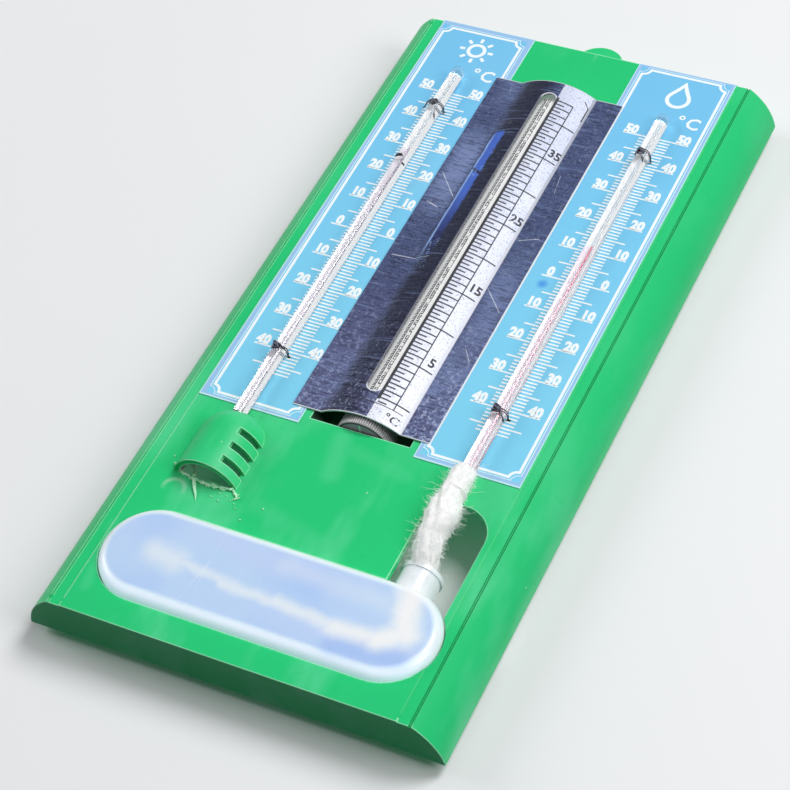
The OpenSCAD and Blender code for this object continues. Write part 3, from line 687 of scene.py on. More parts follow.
def milkyPlastic():
    look = {"blue": srgb(192, 218, 255), "deep": srgb(174, 204, 253), "violet": srgb(204, 214, 255),
            "rim": srgb(238, 250, 255), "band": srgb(250, 253, 255), "glow": srgb(214, 228, 255),
            "neck": srgb(236, 243, 250), "cut": srgb(242, 247, 255),
            # a painted white band where the wet gauze inside shows through the wall: x, depth, half width,
            # strength
            "wet": [((33.5, 193), (37.0, 204), 6.4, 1.0), ((37.0, 204), (39.5, 212), 6.6, 1.0),
                    ((39.5, 212), (34.0, 216), 5.4, 0.95), ((35.0, 215.4), (22, 216.6), 4.4, 0.8),
                    ((26, 216.8), (6, 214.2), 3.4, 0.62), ((10, 215.0), (-10, 214.6), 2.8, 0.54),
                    ((-4, 214.2), (-27, 212.0), 2.6, 0.46), ((38, 206), (4, 203.5), 5.0, 0.2),
                    ((-31, 211.6), (-25, 212.6), 6.5, 0.5)],
            "lens": ((24, 221.5), (41, 219.5), 4.6), "lensBlue": srgb(158, 192, 242),
            "middle": (1.0, 211.75, 33.25)}  # x, depth, half the straight length
    f = Finish("milky_bottle", IOR=1.46, Coat_Weight=0.4, Coat_Roughness=0.14, Subsurface_Weight=0.5,
               Subsurface_Scale=0.0012, Emission_Strength=0.42)
    x, y, z = f.axes()
    cloudy = f.noise(26, 3, 0.5)
    drawn = f.noise(50, 3, 0.5, source=f.stretched(0.25, 1, 1.4))
    marks = f.scratches(110, (0.2, 1.3, 0.3), 0.008, 0.58, 4.0)
    base = f.blend(look["blue"], look["deep"], f.soft(cloudy, 0.42, 0.72) * 0.8)
    base = f.blend(base, look["violet"], f.soft(drawn, 0.5, 0.75) * 0.6)
    middleX, middleDepth, straight = look["middle"]
    out = f.reach((abs(x - middleX) - straight).most(0), z - zAt(middleDepth))
    # painted highlight: the rounded rim is painted nearly white
    rim = f.soft(out + cloudy * 0.8, 11.2, 13.0)
    base = f.blend(base, look["rim"], rim * 0.85)
    waver = (f.noise(120, 4, 0.65) - 0.5) * 5.0
    wet = rim * 0
    for start, end, width, strength in look["wet"]:
        wet = wet.most(f.stroke(x + waver, z + waver * 0.6, start, end, width, 0.05) * strength)
    start, end, width = look["lens"]
    base = f.blend(base, look["lensBlue"], f.stroke(x, z, start, end, width, 0.1) * 0.6)
    # painted white band of the gauze seen through the front wall
    base = f.blend(base, look["band"], wet * (y < -7.0))
    base = f.blend(base, look["neck"], f.band(z, zAt(199), zAt(197)))
    base = f.blend(base, look["cut"], marks * 0.4)
    # painted glow along the lower edge, standing in for light that fell in above
    glow = f.soft(out, 10.8, 13.4) * f.band(z, zAt(211), zAt(222)) * (y < -11.5)
    f.feed(Base_Color=base, Roughness=(0.34 + cloudy * 0.15 + marks * 0.2).clamped(),
           Emission_Color=f.blend((0, 0, 0), look["glow"], glow))
    f.bump(drawn * 2 + cloudy * 2 - marks * 0.5, 0.00006, 0.5)
    return f


def cottonGauze():
    # threads cross on the piece's own map: u round the wick, v along it
    look = {"thread": srgb(255, 255, 254), "gap": srgb(240, 240, 246), "fluff": srgb(240, 240, 248)}
    # the faint white glow is painted light that keeps the gauze white in its own shade
    f = Finish("cotton_gauze", IOR=1.4, Sheen_Weight=0.3, Sheen_Roughness=0.5, Subsurface_Weight=0.4,
               Subsurface_Scale=0.0008, Emission_Color=(1, 1, 1, 1), Emission_Strength=0.06)
    wobble = f.noise(300, 2, 0.6)
    u, v = f.apart(f.uv)[:2]
    warp = abs((u + wobble * 0.5) % 1.0 - 0.5) * 2
    weft = abs((v + wobble * 0.6) % 1.0 - 0.5) * 2
    threads = (1 - warp).most(1 - weft)
    hole = f.soft(warp, 0.6, 0.95) * f.soft(weft, 0.6, 0.95)
    fluff = f.noise(1500, 4, 0.7)
    base = f.blend(look["thread"], look["gap"], hole * 0.6)
    base = f.blend(base, look["fluff"], f.soft(fluff, 0.55, 0.8) * 0.25)
    f.feed(Base_Color=base, Roughness=(0.85 + fluff * 0.1).clamped())
    f.bump(threads * 0.8 + fluff * 0.8 - hole * 0.6, 0.00015, 0.5)
    return f


finishes = {
    "green": mouldedGreen(),
    "dryLabel": labelFoil("dry"),
    "wetLabel": labelFoil("wet", smudge=(24.5 * mm, -13.3 * mm, zAt(92) * mm)),
    "ink": paint("white_ink", srgb(246, 252, 253), srgb(206, 232, 244)),
    "glass": clearGlass(),
    "dryEnamel": enamelWhite("dry_enamel", srgb(226, 214, 226), 58),
    "wetEnamel": enamelWhite("wet_enamel", srgb(250, 226, 240), 77),
    "drySpirit": spirit("spirit_dry", srgb(84, 32, 64), srgb(196, 170, 190), 0.8),
    "wetSpirit": spirit("spirit_wet", srgb(206, 44, 88), srgb(236, 110, 146), 0.2),
    "wire": tieWire(),
    "sheet": coverSheet(),
    "silver": printedSilver(),
    "black": paint("black_ink", srgb(30, 30, 38), srgb(92, 94, 110), 0.4, 0.5),
    "greyInk": paint("table_ink", srgb(34, 36, 46), srgb(96, 98, 112), 0.4, 0.5),
    "card": cardboard(),
    "paper": tablePaper(),
    "dark": darkPlastic("dark_plastic"),
    "knob": darkPlastic("knob_plastic", ribs=True),
    "white": paint("white_paint", srgb(236, 238, 240), srgb(150, 152, 160), 0.4, 0.5),
    "milk": milkyPlastic(),
    "gauze": cottonGauze(),
    "flash": paint("pale_flash", srgb(200, 250, 212), srgb(110, 224, 160), 0.7, 0.4),
}
dresses = {  # finish: the solids that wear it
    "green": "board_face upper_end lower_end left_side right_side drum_well bulb_guard bottle_collar "
             "back_ribs",
    "dryLabel": "dry_scale_label", "wetLabel": "wet_scale_label", "glass": "dry_stem wet_stem",
    "dryEnamel": "dry_backing", "wetEnamel": "wet_backing", "drySpirit": "dry_column",
    "wetSpirit": "wet_column", "sheet": "drum_cover", "card": "drum_tube", "paper": "paper_table",
    "dark": "drum_top_plug drum_lower_plug", "knob": "setting_knob", "white": "knob_index",
    "milk": "water_tank", "gauze": "wick_thread",
}
for key, nodes in dresses.items():
    for node in nodes.split():
        dress(node, finishes[key])
print("finishes ready")


def tickPlan(finish):
    # a ladder of ticks down from the origin: every tenth is long, every fifth is middling
    plan = Plan("tick_ladder")
    count = plan.input("Count", "Int", 98)
    pitch = plan.input("Pitch", "Float", 1.2)
    shortHalf = plan.input("Short half", "Float", 4.7)
    middleHalf = plan.input("Middle half", "Float", 7.4)
    longHalf = plan.input("Long half", "Float", 10.0)
    width = plan.input("Width", "Float", 0.5)
    thick = plan.input("Thickness", "Float", 0.02)
    every = plan.input("Middle every", "Int", 5)
    drop = plan.node("ShaderNodeCombineXYZ", {}, {"Z": -pitch})
    rungs = plan.node("GeometryNodeMeshLine", {"mode": "OFFSET"}, {"Count": count, "Offset": drop})
    number = plan.node("GeometryNodeInputIndex")
    isLong = (number % (every * 2)) < 0.5
    isMiddle = (number % every) < 0.5
    half = shortHalf + (middleHalf - shortHalf) * isMiddle + (longHalf - middleHalf) * isLong
    size = plan.node("ShaderNodeCombineXYZ", {}, {"X": half * 2, "Y": thick, "Z": width})
    rung = plan.node("GeometryNodeMeshCube", {}, {"Size": (1, 1, 1)})
    ladder = plan.node("GeometryNodeInstanceOnPoints", {}, {"Points": rungs, "Instance": rung, "Scale": size})
    plan.finish(ladder, finish.material)
    return plan


ticks = tickPlan(finishes["ink"])
scale = {"top": {"dry": 30.0, "wet": 28.8}, "pitch": 1.2, "count": 98, "figure": 4.7, "figureOut": 8.0,
         "middle": {"dry": -32.2, "wet": 33.0}, "bite": 2.2, "unitDepth": 22.0, "signDepth": 10.2}


def ticketCorners(left, right, top, bottom, bite):
    # frame line whose corners are bitten in by small arcs
    route = []
    for cx, cz, start in ((left, top, 0), (right, top, -90), (right, bottom, -180), (left, bottom, -270)):
        for step in reversed(range(5)):
            c, s = compass(bite, start - step * 22.5)
            route.append((cx + c, cz + s))
    return route


def printLabel(side):
    middle = scale["middle"][side]
    sheaf = Sheaf()
    ladder = ticks.make("scale_ticks", {"Count": scale["count"], "Pitch": scale["pitch"]})
    top = zAt(scale["top"][side])
    sheaf.add([(middle + v.co.x, v.co.y - 0.01, top + v.co.z) for v in ladder.vertices],
              [tuple(p.vertices) for p in ladder.polygons])
    for place in range(10):
        value = abs(50 - 10 * place)
        at = top - 10 * place * scale["pitch"] + 0.35
        for way in (-1, 1):
            sheaf.word(str(value), middle + way * scale["figureOut"], at, scale["figure"], bold=0.28,
                       squeeze=0.82)
    edges = printFrames[side]
    left, right, high, low = edges["left"], edges["right"], zAt(edges["high"]), zAt(edges["low"])
    for out, width in ((0, 0.8), (0.9, 0.18)):
        corners = ticketCorners(left - out, right + out, high + out, low - out, scale["bite"])
        sheaf.line(corners, width, closed=True)
    # degree unit beside the tube
    sheaf.word("°", middle + 4.2, zAt(scale["unitDepth"]), 6.5, bold=0.08)
    sheaf.word("C", middle + 8.0, zAt(scale["unitDepth"]), 6.4, bold=0.12, squeeze=0.95)
    # a plain sign at the top: a sun on the dry side, a drop on the wet side
    signX, signZ = middle + 0.2, zAt(scale["signDepth"])

    def ray(radius, degrees):
        c, s = compass(radius, degrees)
        return signX + c, signZ + s

    if side == "dry":
        sheaf.line([ray(2.5, a) for a in range(0, 360, 15)], 1.1, closed=True)
        for a in range(0, 360, 45):
            sheaf.line([ray(3.7, a), ray(5.4, a)], 1.0)
    else:
        drop = []
        for a in range(-120, 121, 12):
            c, s = compass(3.2, a)
            drop.append((signX + s, signZ - 1.2 - c))
        drop += [(signX + 1.2, signZ + 3.0), (signX, signZ + 5.4), (signX - 1.2, signZ + 3.0)]
        sheaf.line(drop, 1.15, closed=True)
    # the dry label's print runs a little crooked
    sheaf.moved(lambda p: Vector((p.x + edges["lean"] * (zAt(0) - p.z), p.y + labelY, p.z)))
    makePiece(side + "_scale_print", sheaf, finishes["ink"], "board")


printLabel("dry")
printLabel("wet")
print("scales printed")


def onHump(p):  # x stays the board's x, y is the height over the sheet
    a = math.asin(max(-1, min(1, (p.x - hump["x"]) / hump["r"])))
    r = hump["r"] - p.y
    return Vector((hump["x"] + r * math.sin(a), hump["y"] - r * math.cos(a), p.z))


coverPrint = {"left": 1.28, "right": 10.25, "rows": (19.45, 60, 100, 154.15), "thick": 0.012,
              "tick0": 26.5, "ticks": 88, "pitch": 1.4, "edge": 1.55, "short": 4.3, "rule": 6.55,
              "long": 10.1, "figures": ((35, 45.7), (25, 73.2), (15, 101.3), (5, 129.7)),
              "figureX": 8.85, "figureSize": 4.1, "foot": 149,
              # x and depth along the small frame line at the upper end
              "bracket": [(6.6, 22.3), (8.8, 22.6), (10.2, 24.2), (10.2, 29.8), (6.8, 29.8)]}


def printCover():
    c = coverPrint
    field = Sheaf()
    across = 14
    xs = [c["left"] + (c["right"] - c["left"]) * i / across for i in range(across + 1)]
    n, rows = len(xs), len(c["rows"])
    layer = n * rows
    grid = [(x, y, zAt(depth)) for y in (-c["thick"], 0.004) for depth in c["rows"] for x in xs]
    faces = []
    for base in (0, layer):  # front and back
        for j in range(rows - 1):
            for i in range(n - 1):
                a = base + j * n + i
                faces.append((a, a + 1, a + n + 1, a + n))
    for j in range(rows - 1):  # long edges
        for i in (0, n - 1):
            a = j * n + i
            faces.append((a, a + n, a + n + layer, a + layer))
    for j in (0, rows - 1):  # short edges
        for i in range(n - 1):
            a = j * n + i
            faces.append((a, a + 1, a + 1 + layer, a + layer))
    field.add(grid, faces)
    field.moved(onHump)
    makePiece("cover_print_field", field, finishes["silver"], "board")

    ink = Sheaf()

    def rule(x0, z0, x1, z1, width):
        steps = max(1, int(abs(x1 - x0) / 0.9))
        route = [(x0 + (x1 - x0) * i / steps, z0 + (z1 - z0) * i / steps) for i in range(steps + 1)]
        ink.line(route, width, thick=c["thick"])

    rule(c["edge"], zAt(25.2), c["edge"], zAt(147.5), 0.8)
    rule(c["rule"], zAt(c["tick0"]), c["rule"], zAt(c["foot"]), 0.32)
    for i in range(c["ticks"]):
        z = zAt(c["tick0"] + i * c["pitch"])
        far = c["long"] if i % 10 == 6 else c["rule"] if i % 2 == 0 else c["short"]
        rule(c["edge"] + 0.3, z, far, z, 0.46)
    for value, depth in c["figures"]:
        ink.word(str(value), c["figureX"], zAt(depth + 1.5), c["figureSize"], c["thick"], 0.12, 0.85)
    rule(-4.0, zAt(c["foot"]), 9.2, zAt(c["foot"]), 0.26)
    ink.word("°C", 7.3, zAt(153.0), 3.6, c["thick"], 0.07)
    ink.line([(x, zAt(depth)) for x, depth in c["bracket"]], 0.3, thick=c["thick"])
    ink.moved(lambda p: onHump(Vector((p.x, p.y - c["thick"], p.z))))
    makePiece("cover_print_ink", ink, finishes["black"], "board")


printCover()
print("cover printed")


drum = {"r": 7.2, "columns": 10, "rows": 85, "pitch": 1.4, "top": 26.4, "height": 1.14, "width": 0.8,
        "stroke": 0.22, "gap": 0.72, "turn": -16}  # the column of this reading stands left in the slot


def figureStrokes():
    # each figure as one or two strokes in a box 1 wide and 2 high
    box = {"a": (0, 2), "b": (1, 2), "c": (0, 1), "d": (1, 1), "e": (0, 0), "f": (1, 0)}
    text = ["abfea", "bf", "abdcef", "abfe cd", "acd bf", "bacdfe", "baefdc", "abf", "abfea cd", "dcabfe"]
    return [[[box[k] for k in part] for part in figure.split()] for figure in text]


def printTable():
    d = drum
    figures = []
    for value, strokes in enumerate(figureStrokes()):
        sheaf = Sheaf()
        for route in strokes:
            closed = route[0] == route[-1]
            corners = route[:-1] if closed else route
            points = [((x - 0.5) * d["width"], z * d["height"] / 2) for x, z in corners]
            sheaf.line(points, d["stroke"], thick=0.012, closed=closed)
        mesh = bpy.data.meshes.new("figure_%d" % value)
        mesh.from_pydata(sheaf.points, [], sheaf.faces)
        figures.append(newObject(mesh.name, mesh))

    plan = Plan("humidity_figures")
    columns = plan.input("Columns", "Int", d["columns"])
    rows = plan.input("Rows", "Int", d["rows"])
    pitch = plan.input("Row pitch", "Float", d["pitch"])
    radius = plan.input("Radius", "Float", d["r"])
    seed = plan.input("Seed", "Int", 3)
    joined = plan.tree.nodes.new("GeometryNodeJoinGeometry")
    for carrier in reversed(figures):
        info = plan.node("GeometryNodeObjectInfo", {}, {"Object": carrier, "As Instance": True}, output=4)
        plug(plan.tree, joined.inputs[0], info)
    step = radius * (2 * math.pi) / columns
    slots = plan.node("GeometryNodeMeshLine", {"mode": "OFFSET"},
                      {"Count": columns * rows, "Offset": (0, 0, 0)})
    index = plan.node("GeometryNodeInputIndex")
    row = (index / columns).floor()
    column = index % columns
    humidity = (97 - column * (10.5 - row * 0.085)).most(4) - row * 0.02
    tens = (humidity / 10).floor()
    ones = plan.node("FunctionNodeRandomValue", {"data_type": "INT"}, {4: 0, 5: 9, "Seed": seed}, output=2)
    parts = plan.tree.nodes.new("GeometryNodeJoinGeometry")
    for shift, digit in ((-d["gap"], tens), (d["gap"], ones)):
        spot = plan.node("ShaderNodeCombineXYZ", {}, {"X": column * step + shift, "Z": row * -pitch})
        placed = plan.node("GeometryNodeSetPosition", {}, {"Geometry": slots, "Position": spot})
        made = plan.node("GeometryNodeInstanceOnPoints", {}, {"Points": placed,
                         "Instance": joined.outputs[0], "Pick Instance": True,
                         "Instance Index": digit})
        plug(plan.tree, parts.inputs[0], made)
    real = plan.node("GeometryNodeRealizeInstances", {}, {"Geometry": parts.outputs[0]})
    # roll the flat table round the drum
    px, py, pz = plan.apart(plan.node("GeometryNodeInputPosition"))
    turn = px / radius
    out = radius - py
    sine, cosine = turn.maths("SINE", turn), turn.maths("COSINE", turn)
    rolled = plan.node("ShaderNodeCombineXYZ", {}, {"X": out * sine, "Y": -(out * cosine), "Z": pz})
    shaped = plan.node("GeometryNodeSetPosition", {}, {"Geometry": real, "Position": rolled})
    plan.finish(shaped, finishes["greyInk"].material)
    mesh = plan.make("humidity_figures", {"Columns": d["columns"], "Rows": d["rows"], "Row pitch": d["pitch"],
                                          "Radius": d["r"] + 0.001, "Seed": 3})
    for carrier in figures:
        bpy.data.objects.remove(carrier)
    sheaf = Sheaf()
    sheaf.mesh(mesh)
    spin = Matrix.Rotation(math.radians(d["turn"]), 3, "Z")
    sheaf.moved(lambda p: spin @ p + Vector((0, drumY, zAt(d["top"]))))
    makePiece("table_figures", sheaf, finishes["greyInk"], "drum", merge=False)


printTable()
print("table printed")


tie = {"y": -15.3, "wire": 0.16, "loop": 2.22, "leg": 4.3, "twist": 0.42, "twistLong": 5.0,
       # node: x, depth, seed, way the tail points
       "places": {"dry_tie_upper": (-32.2, 38.3, 3, (-0.5, 0.3, -1.0)),
                  "dry_tie_lower": (-32.2, 139.8, 8, (0.9, 0.2, -0.4)),
                  "wet_tie_upper": (33.0, 38.3, 5, (0.5, 0.2, -1.0)),
                  "wet_tie_lower": (33.0, 139.8, 14, (1.0, 0.2, -1.5))},
       "binding": [(-1.0, 0.2, 0.5), (-0.2, -0.45, 0.25), (0.6, -0.35, -0.35), (1.1, 0.25, -0.7)],
       # ink mark on the dry tube: x, depth, radius
       "mark": (-32.2, 61.6, 2.0)}


def tieTwist(phase, down):
    turns = []
    for k in range(17):
        c, s = compass(tie["twist"], phase + 45 * k)
        turns.append(Vector((c, tie["leg"] + 1.2 + s, -1.4 - tie["twistLong"] * k / 16)))
    return turns if down else turns[::-1]


def knotRoute(centre, seed, tail):
    # two untidy rings and a tail
    route = []
    for k in range(49):
        t = 4 * math.pi * k / 48
        grow = 0.85 + 0.25 * math.sin(t * 0.5 + seed)
        route.append(centre + Vector((grow * (math.cos(t + seed) + 0.3 * math.cos(3 * t + seed)),
                                      -0.28 * math.sin(1.5 * t) + 0.12 * abs(math.cos(t + seed)),
                                      grow * (0.95 * math.sin(t + seed) + 0.28 * math.sin(2 * t)))))
    end, way = route[-1], Vector(tail)
    return route + [end + way * 0.9 + Vector((0, -0.15, 0)), end + way * 1.9 + Vector((0.35, 0.05, 0)),
                    end + way * 2.8 + Vector((0.2, 0.35, 0.2))]


def makeTie(node):
    x, depth, seed, tail = tie["places"][node]
    loop, leg = tie["loop"], tie["leg"]
    rand = random.Random(seed)
    sheaf = Sheaf()
    # two strands over the glass, both legs through the board, twisted together behind it
    for strand, shift in enumerate((0.33, -0.3)):
        route = [Vector((-loop, leg, shift * 0.4))]
        for a in range(180, -1, -12):
            c, s = compass(loop, a)
            sway = 0.22 * math.sin(math.radians(a * 2 + 60 * seed))
            route.append(Vector((c, -s, shift + sway + rand.uniform(-0.05, 0.05))))
        route.append(Vector((loop, leg, shift * 0.4)))
        if strand == 0:
            route = tieTwist(180, False) + [Vector((-1.5, leg + 0.9, -0.4))] + route
        else:
            route = route + [Vector((1.5, leg + 0.9, -0.4))] + tieTwist(0, True)
        cord(sheaf, route, [tie["wire"]] * len(route), 8)
    # the knot on the front, left of the middle, and the short piece that binds it
    centre = Vector((-0.45, -loop - 0.25, -0.5))
    cord(sheaf, knotRoute(centre, seed, tail), [0.3] * 49 + [0.27, 0.24, 0.18], 8)
    cord(sheaf, [centre + Vector(p) for p in tie["binding"]], [0.3, 0.42, 0.42, 0.3], 8)
    sheaf.moved(lambda p: p + Vector((x, tie["y"], zAt(depth))))
    makePiece(node + "_wire", sheaf, finishes["wire"], "board", (node,), smooth=True, merge=False)


def makeMark():
    x, depth, radius = tie["mark"]
    spine = []
    for a in range(75, 151, 15):
        c, s = compass(radius, a)
        spine.append(Vector((x + c, tie["y"] - s, zAt(depth + 0.004 * a))))
    sheaf = Sheaf()
    cord(sheaf, spine, [0.2, 0.46, 0.55, 0.5, 0.46, 0.2], 8)
    makePiece("dry_tube_mark", sheaf, finishes["black"], "board", merge=False)


for node in tie["places"]:
    makeTie(node)
makeMark()
print("ties knotted")


flash = {"face": -13.15, "seed": 21, "fins": 34,
         # x and depth of each point
         "edge": [(-41.2, 183.2), (-39.6, 184.6), (-36.6, 185.7), (-33.4, 186.2), (-29.6, 186.6),
                  (-26.0, 186.4), (-22.6, 185.9), (-21.0, 187.2), (-20.2, 188.2)],
         "curl": [(-39.6, 182.2), (-37.6, 181.9), (-35.6, 182.6), (-34.6, 184.2), (-34.3, 186.0)],
         "splinter": [(-33.8, 186.4), (-32.6, 188.6), (-31.2, 190.6), (-30.4, 192.2)],
         "crumbs": [(-26.9, 189.6), (-16.2, 193.6), (-21.7, 188.9), (-24.5, 190.4), (-20.4, 189.6),
                    (-23.2, 188.2), (-19.2, 190.8), (-25.6, 187.9), (-42.6, 181.2), (-12.0, 188.6)]}


def makeFlash():
    rand = random.Random(flash["seed"])
    sheaf = Sheaf()

    def onFace(a, b, t, lift=0.0, jitter=(0.0, 0.0)):
        x, depth = (p + (q - p) * t + j for p, q, j in zip(a, b, jitter))
        return Vector((x, flash["face"] - lift, zAt(depth)))

    def ragged(points, radius, lift, steps):
        route, size = [], []
        for a, b in zip(points, points[1:]):
            for k in range(steps):
                aside = rand.uniform(-0.12, 0.12)
                up = lift * rand.random()
                route.append(onFace(a, b, k / steps, up, (aside, rand.uniform(-0.2, 0.2))))
                size.append(radius * rand.uniform(0.45, 1.25))
        cord(sheaf, route, size, 6)

    ragged(flash["edge"], 0.4, 0.3, 6)
    ragged(flash["edge"], 0.3, 0.7, 5)
    ragged(flash["curl"], 0.5, 1.2, 4)
    for number in range(flash["fins"]):  # torn fins
        place = rand.randrange(len(flash["edge"]) - 1)
        start = onFace(flash["edge"][place], flash["edge"][place + 1], rand.random())
        way = Vector((rand.uniform(-0.9, 0.9), rand.uniform(-0.7, 0), rand.uniform(-0.9, 0.7)))
        cord(sheaf, [start, start + way * 0.6, start + way * 1.1], [0.3, 0.22, 0.03], 5)
    splinter = [onFace(p, p, 0, lift) for p, lift in zip(flash["splinter"], (0.5, 0.35, 0.2, 0.0))]
    cord(sheaf, splinter, [0.55, 0.5, 0.3, 0.04], 6)
    for p in flash["crumbs"]:
        start = onFace(p, p, 0)
        way = Vector((rand.uniform(-0.5, 0.5), -0.08, rand.uniform(-0.3, 0.3)))
        cord(sheaf, [start, start + way, start + way * 1.7], [0.1, rand.uniform(0.14, 0.24), 0.06], 5)
    makePiece("guard_flash", sheaf, finishes["flash"], "board", merge=False)


makeFlash()
print("flash added")


wick = {
    # x, y, depth, radius of the gauze along the wet bulb and down into the bottle
    "route": [(32.9, -15.5, 160.0, 2.5), (32.8, -15.6, 161.4, 3.1), (32.6, -15.7, 164.0, 3.4),
              (32.4, -15.7, 167.0, 3.4), (32.5, -15.7, 170.0, 3.6), (32.8, -15.7, 173.0, 4.2),
              (33.2, -15.7, 176.0, 4.4), (33.0, -15.6, 178.4, 4.2), (32.7, -15.3, 180.6, 3.7),
              (32.7, -14.4, 183.4, 3.6), (32.9, -12.6, 186.2, 3.8), (33.1, -10.4, 188.8, 3.9),
              (33.3, -8.9, 191.2, 3.7), (33.3, -8.6, 194.0, 3.4), (33.3, -9.2, 198.0, 3.1),
              (34.4, -10.4, 202.0, 2.8), (36.4, -11.1, 206.0, 2.7), (38.2, -11.3, 210.0, 2.6),
              (38.9, -11.3, 213.5, 2.5), (36.5, -11.2, 216.3, 2.3), (31.0, -11.1, 216.8, 2.1),
              (16.0, -10.9, 216.2, 1.8), (-8.0, -10.7, 215.4, 1.6), (-30.0, -10.7, 214.6, 1.2)],
    "rings": 330, "around": 72, "threads": 0.5, "mapRadius": 3.2,
    "joint": {"start": (33.0, -15.3, 181), "end": (33.1, -9.0, 191)},  # where it goes over to the bottle
    # stray fibres grow on this share of the wick; behind this y they stay in the window
    "seed": 11, "hairs": 5200, "hairy": 0.345, "behind": -13.1, "windowTop": 170,
    "hairBox": (-20.7, -9.0), "hairThick": (0.026, 0.048),
}


def smoothRoute(points, count):
    # a smooth curve through the points, evenly spaced in length
    dense = []
    for i in range(len(points) - 1):
        p0, p1 = Vector(points[max(i - 1, 0)]), Vector(points[i])
        p2, p3 = Vector(points[i + 1]), Vector(points[min(i + 2, len(points) - 1)])
        for step in range(24):
            t = step / 24
            dense.append(0.5 * (2 * p1 + (p2 - p0) * t + (2 * p0 - 5 * p1 + 4 * p2 - p3) * t * t
                                + (3 * p1 - p0 - 3 * p2 + p3) * t * t * t))
    dense.append(Vector(points[-1]))
    lengths = [0.0]
    for a, b in zip(dense, dense[1:]):
        lengths.append(lengths[-1] + (b.xyz - a.xyz).length)
    result, k = [], 0
    for i in range(count):
        want = lengths[-1] * i / (count - 1)
        while k < len(lengths) - 2 and lengths[k + 1] < want:
            k += 1
        share = (want - lengths[k]) / max(1e-9, lengths[k + 1] - lengths[k])
        result.append(dense[k].lerp(dense[k + 1], min(1, max(0, share))))
    return result, lengths[-1]


def overToBottle(piece):
    ends = {key: (x * mm, y * mm, zAt(depth) * mm) for key, (x, y, depth) in wick["joint"].items()}
    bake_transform(piece)


def makeGauze():
    w = wick
    path, length = smoothRoute([(x, y, zAt(d), r) for x, y, d, r in w["route"]], w["rings"])
    n, rings = w["around"], w["rings"]
    full = 2 * math.pi * w["mapRadius"] / w["threads"]  # threads round the wick on its own map
    side = Vector((1, 0, 0))
    points, uvs, stations = [], [], []
    for i, p in enumerate(path):
        before, after = path[max(i - 1, 0)].xyz, path[min(i + 1, rings - 1)].xyz
        ahead = (after - before).normalized()
        side = (side - ahead * side.dot(ahead)).normalized()
        up = ahead.cross(side)
        along = length * i / (rings - 1)
        stations.append((p.xyz, side.copy(), up, p.w))
        for k in range(n):
            a = 2 * math.pi * k / n
            out = math.cos(a) * side + math.sin(a) * up
            twist = along * 0.16
            fold = 0.05 * math.sin(3 * a + twist * 2.1) + 0.035 * math.sin(5 * a - twist * 3.3 + 1.3)
            fold += 0.025 * math.sin(9 * a + twist * 5.0)
            at = p.xyz + p.w * out
            lump = noise.noise(at * 0.42) * 0.1 + noise.noise(at * 1.3 + Vector((7, 3, 1))) * 0.05
            r = p.w * (0.93 + fold + lump) + 0.07 * noise.noise(at * 4.0)
            if i < 4:
                r += 0.35 * noise.noise(Vector((k * 0.45, i * 0.3, 5)))  # frayed upper end
            points.append(p.xyz + r * out)
            uvs.append((k / n * full, along / w["threads"]))
    faces, loops = [], []
    for i in range(rings - 1):
        for k in range(n):
            a, b = i * n + k, i * n + (k + 1) % n
            faces.append((a, b, b + n, a + n))
            seam = full if k == n - 1 else 0
            loops += [uvs[a], (uvs[b][0] + seam, uvs[b][1]), (uvs[b + n][0] + seam, uvs[b + n][1]),
                      uvs[a + n]]
    for ring, flip in ((0, True), (rings - 1, False)):
        centre = len(points)
        points.append(path[ring].xyz)
        for k in range(n):
            a, b = ring * n + k, ring * n + (k + 1) % n
            faces.append((centre, b, a) if flip else (centre, a, b))
            loops += [(0, 0), (1, 0), (1, 1)]
    mesh = bpy.data.meshes.new("gauze_wick")
    mesh.from_pydata([p * mm for p in points], [], faces)
    layer = mesh.uv_layers.new(name="threads")
    for place, value in enumerate(loops):
        layer.data[place].uv = value
    faceOutwards(mesh)
    piece = settle("gauze_wick", mesh, finishes["gauze"], None, ("wick_sleeve", "wick_tail"),
                   smooth=True)
    overToBottle(piece)
    return stations


def makeFibres(stations):
    # short curved hairs on the open part of the wick, a few long wisps
    w = wick
    rand = random.Random(w["seed"])
    hairs = Sheaf()
    front, back = w["hairBox"]
    for number in range(w["hairs"]):
        at = rand.random() * w["hairy"]
        centre, sideways, upwards, radius = stations[int(at * (w["rings"] - 1))]
        a = rand.uniform(0, 2 * math.pi)
        out = math.cos(a) * sideways + math.sin(a) * upwards
        start = centre + out * radius * rand.uniform(0.8, 0.98)
        if start.x < centre.x and rand.random() < 0.5:
            continue
        if start.y > labelY and start.z > zAt(w["windowTop"]):
            continue
        roll = rand.random()
        reach = rand.uniform(0.4, 1.0) if roll < 0.8 else rand.uniform(1.0, 1.8) if roll < 0.975 else 2.6
        lean = Vector([rand.uniform(-1, 1) for axis in range(3)])
        hook = Vector([rand.uniform(-1, 1) for axis in range(3)])
        spine = [start + out * reach * t + lean * reach * 0.8 * t * t + hook * reach * 0.6 * math.sin(t * 3.0)
                 for t in (0, 0.25, 0.5, 0.75, 1.0)]
        deepest = max(p.y for p in spine)
        if min(p.y for p in spine) < front or deepest > back:
            continue
        if deepest > w["behind"] and min(p.z for p in spine) > zAt(w["windowTop"]):
            continue
        thick = rand.uniform(*w["hairThick"])
        cord(hairs, spine, [thick, thick, thick * 0.9, thick * 0.7, thick * 0.3], 3)
    overToBottle(makePiece("gauze_fibres", hairs, finishes["gauze"], None, merge=False))


makeFibres(makeGauze())
print("wick wound")


stage = {"y": 3.1 * mm, "middle": -0.12, "reach": 1.3, "fade": (0.45, 1.2),
         "colour": (0.86, 0.87, 0.885), "room": (0.93, 0.95, 1.0), "roomStrength": 0.1,
         "background": (0.93, 0.935, 0.945), "backgroundStrength": 0.9}


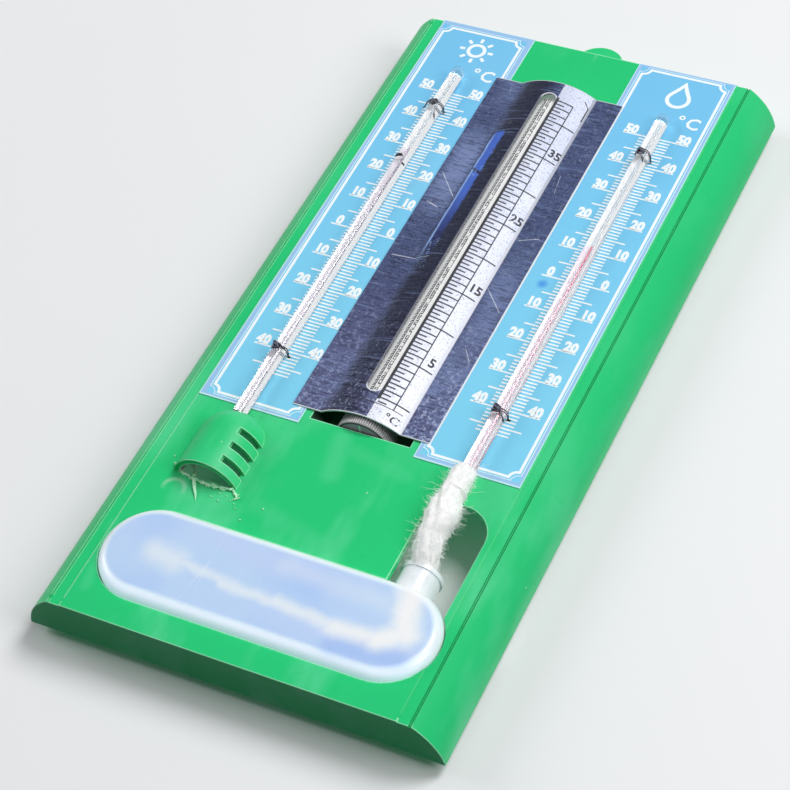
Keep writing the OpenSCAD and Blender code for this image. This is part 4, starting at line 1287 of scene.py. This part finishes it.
def makeStage():
    mesh = bpy.data.meshes.new("pale_floor")
    r, middle = stage["reach"], stage["middle"]
    corners = ((-r, middle - r), (r, middle - r), (r, middle + r), (-r, middle + r))
    mesh.from_pydata([(x, stage["y"], z) for x, z in corners], [], [(0, 1, 2, 3)])
    floor = newObject("pale_floor", mesh)
    f = Finish("pale_floor", Roughness=0.5)
    grey = [c * 0.97 for c in stage["colour"]]
    f.feed(Base_Color=f.blend(stage["colour"], grey, f.noise(9, 3, 0.5)))
    # clear far out, where the background takes over, and from behind
    far = f.away((0, stage["y"], middle))
    clear = f.soft(far, *stage["fade"]).most(f.node("ShaderNodeNewGeometry", output="Backfacing"))
    seeThrough = f.node("ShaderNodeBsdfTransparent")
    mixed = f.node("ShaderNodeMixShader", {}, {0: clear, 1: f.shader.outputs[0], 2: seeThrough})
    plug(f.tree, f.out.inputs[0], mixed)
    mesh.materials.append(f.material)
    floor.visible_diffuse = False
    floor.visible_shadow = False


lamps = {"aim": (0, 0, -0.12),
         # name, place, size, watts
         "all": [("key_lamp", (0.6, -1.4, 0.6), 0.8, 18.4), ("fill_lamp", (1.3, -1.05, -0.12), 0.8, 9.6),
                 ("left_lamp", (-1.35, -0.9, -0.08), 0.7, 7.4), ("back_lamp", (0.3, 1.2, 0.6), 1.0, 5.0)]}


def makeLight():
    for name, spot, size, watts in lamps["all"]:
        data = bpy.data.lights.new(name, "AREA")
        data.shape, data.size, data.energy = "DISK", size, watts
        lamp = newObject(name, data)
        lamp.location = spot
        lamp.rotation_mode = "QUATERNION"
        lamp.rotation_quaternion = (Vector(lamps["aim"]) - Vector(spot)).to_track_quat("-Z", "Y")
    world = bpy.data.worlds.new("pale_room")
    bpy.context.scene.world = world
    world.use_nodes = True
    room = Tree()
    room.tree = world.node_tree
    room.tree.nodes.clear()
    dim, seen = (room.node("ShaderNodeBackground", {}, {0: (*stage[key], 1), 1: stage[key + "Strength"]})
                 for key in ("room", "background"))
    # the pale background is seen, also in gloss and through glass, but doesn't light the part
    camera, glossy, through = (room.node("ShaderNodeLightPath", output="Is %s Ray" % kind)
                               for kind in ("Camera", "Glossy", "Transmission"))
    mixed = room.node("ShaderNodeMixShader", {}, {0: camera.most(through).most(glossy), 1: dim, 2: seen})
    plug(room.tree, room.tree.nodes.new("ShaderNodeOutputWorld").inputs[0], mixed)
    bpy.context.scene.view_settings.view_transform = "Standard"


makeStage()
makeLight()
print("stage lit")
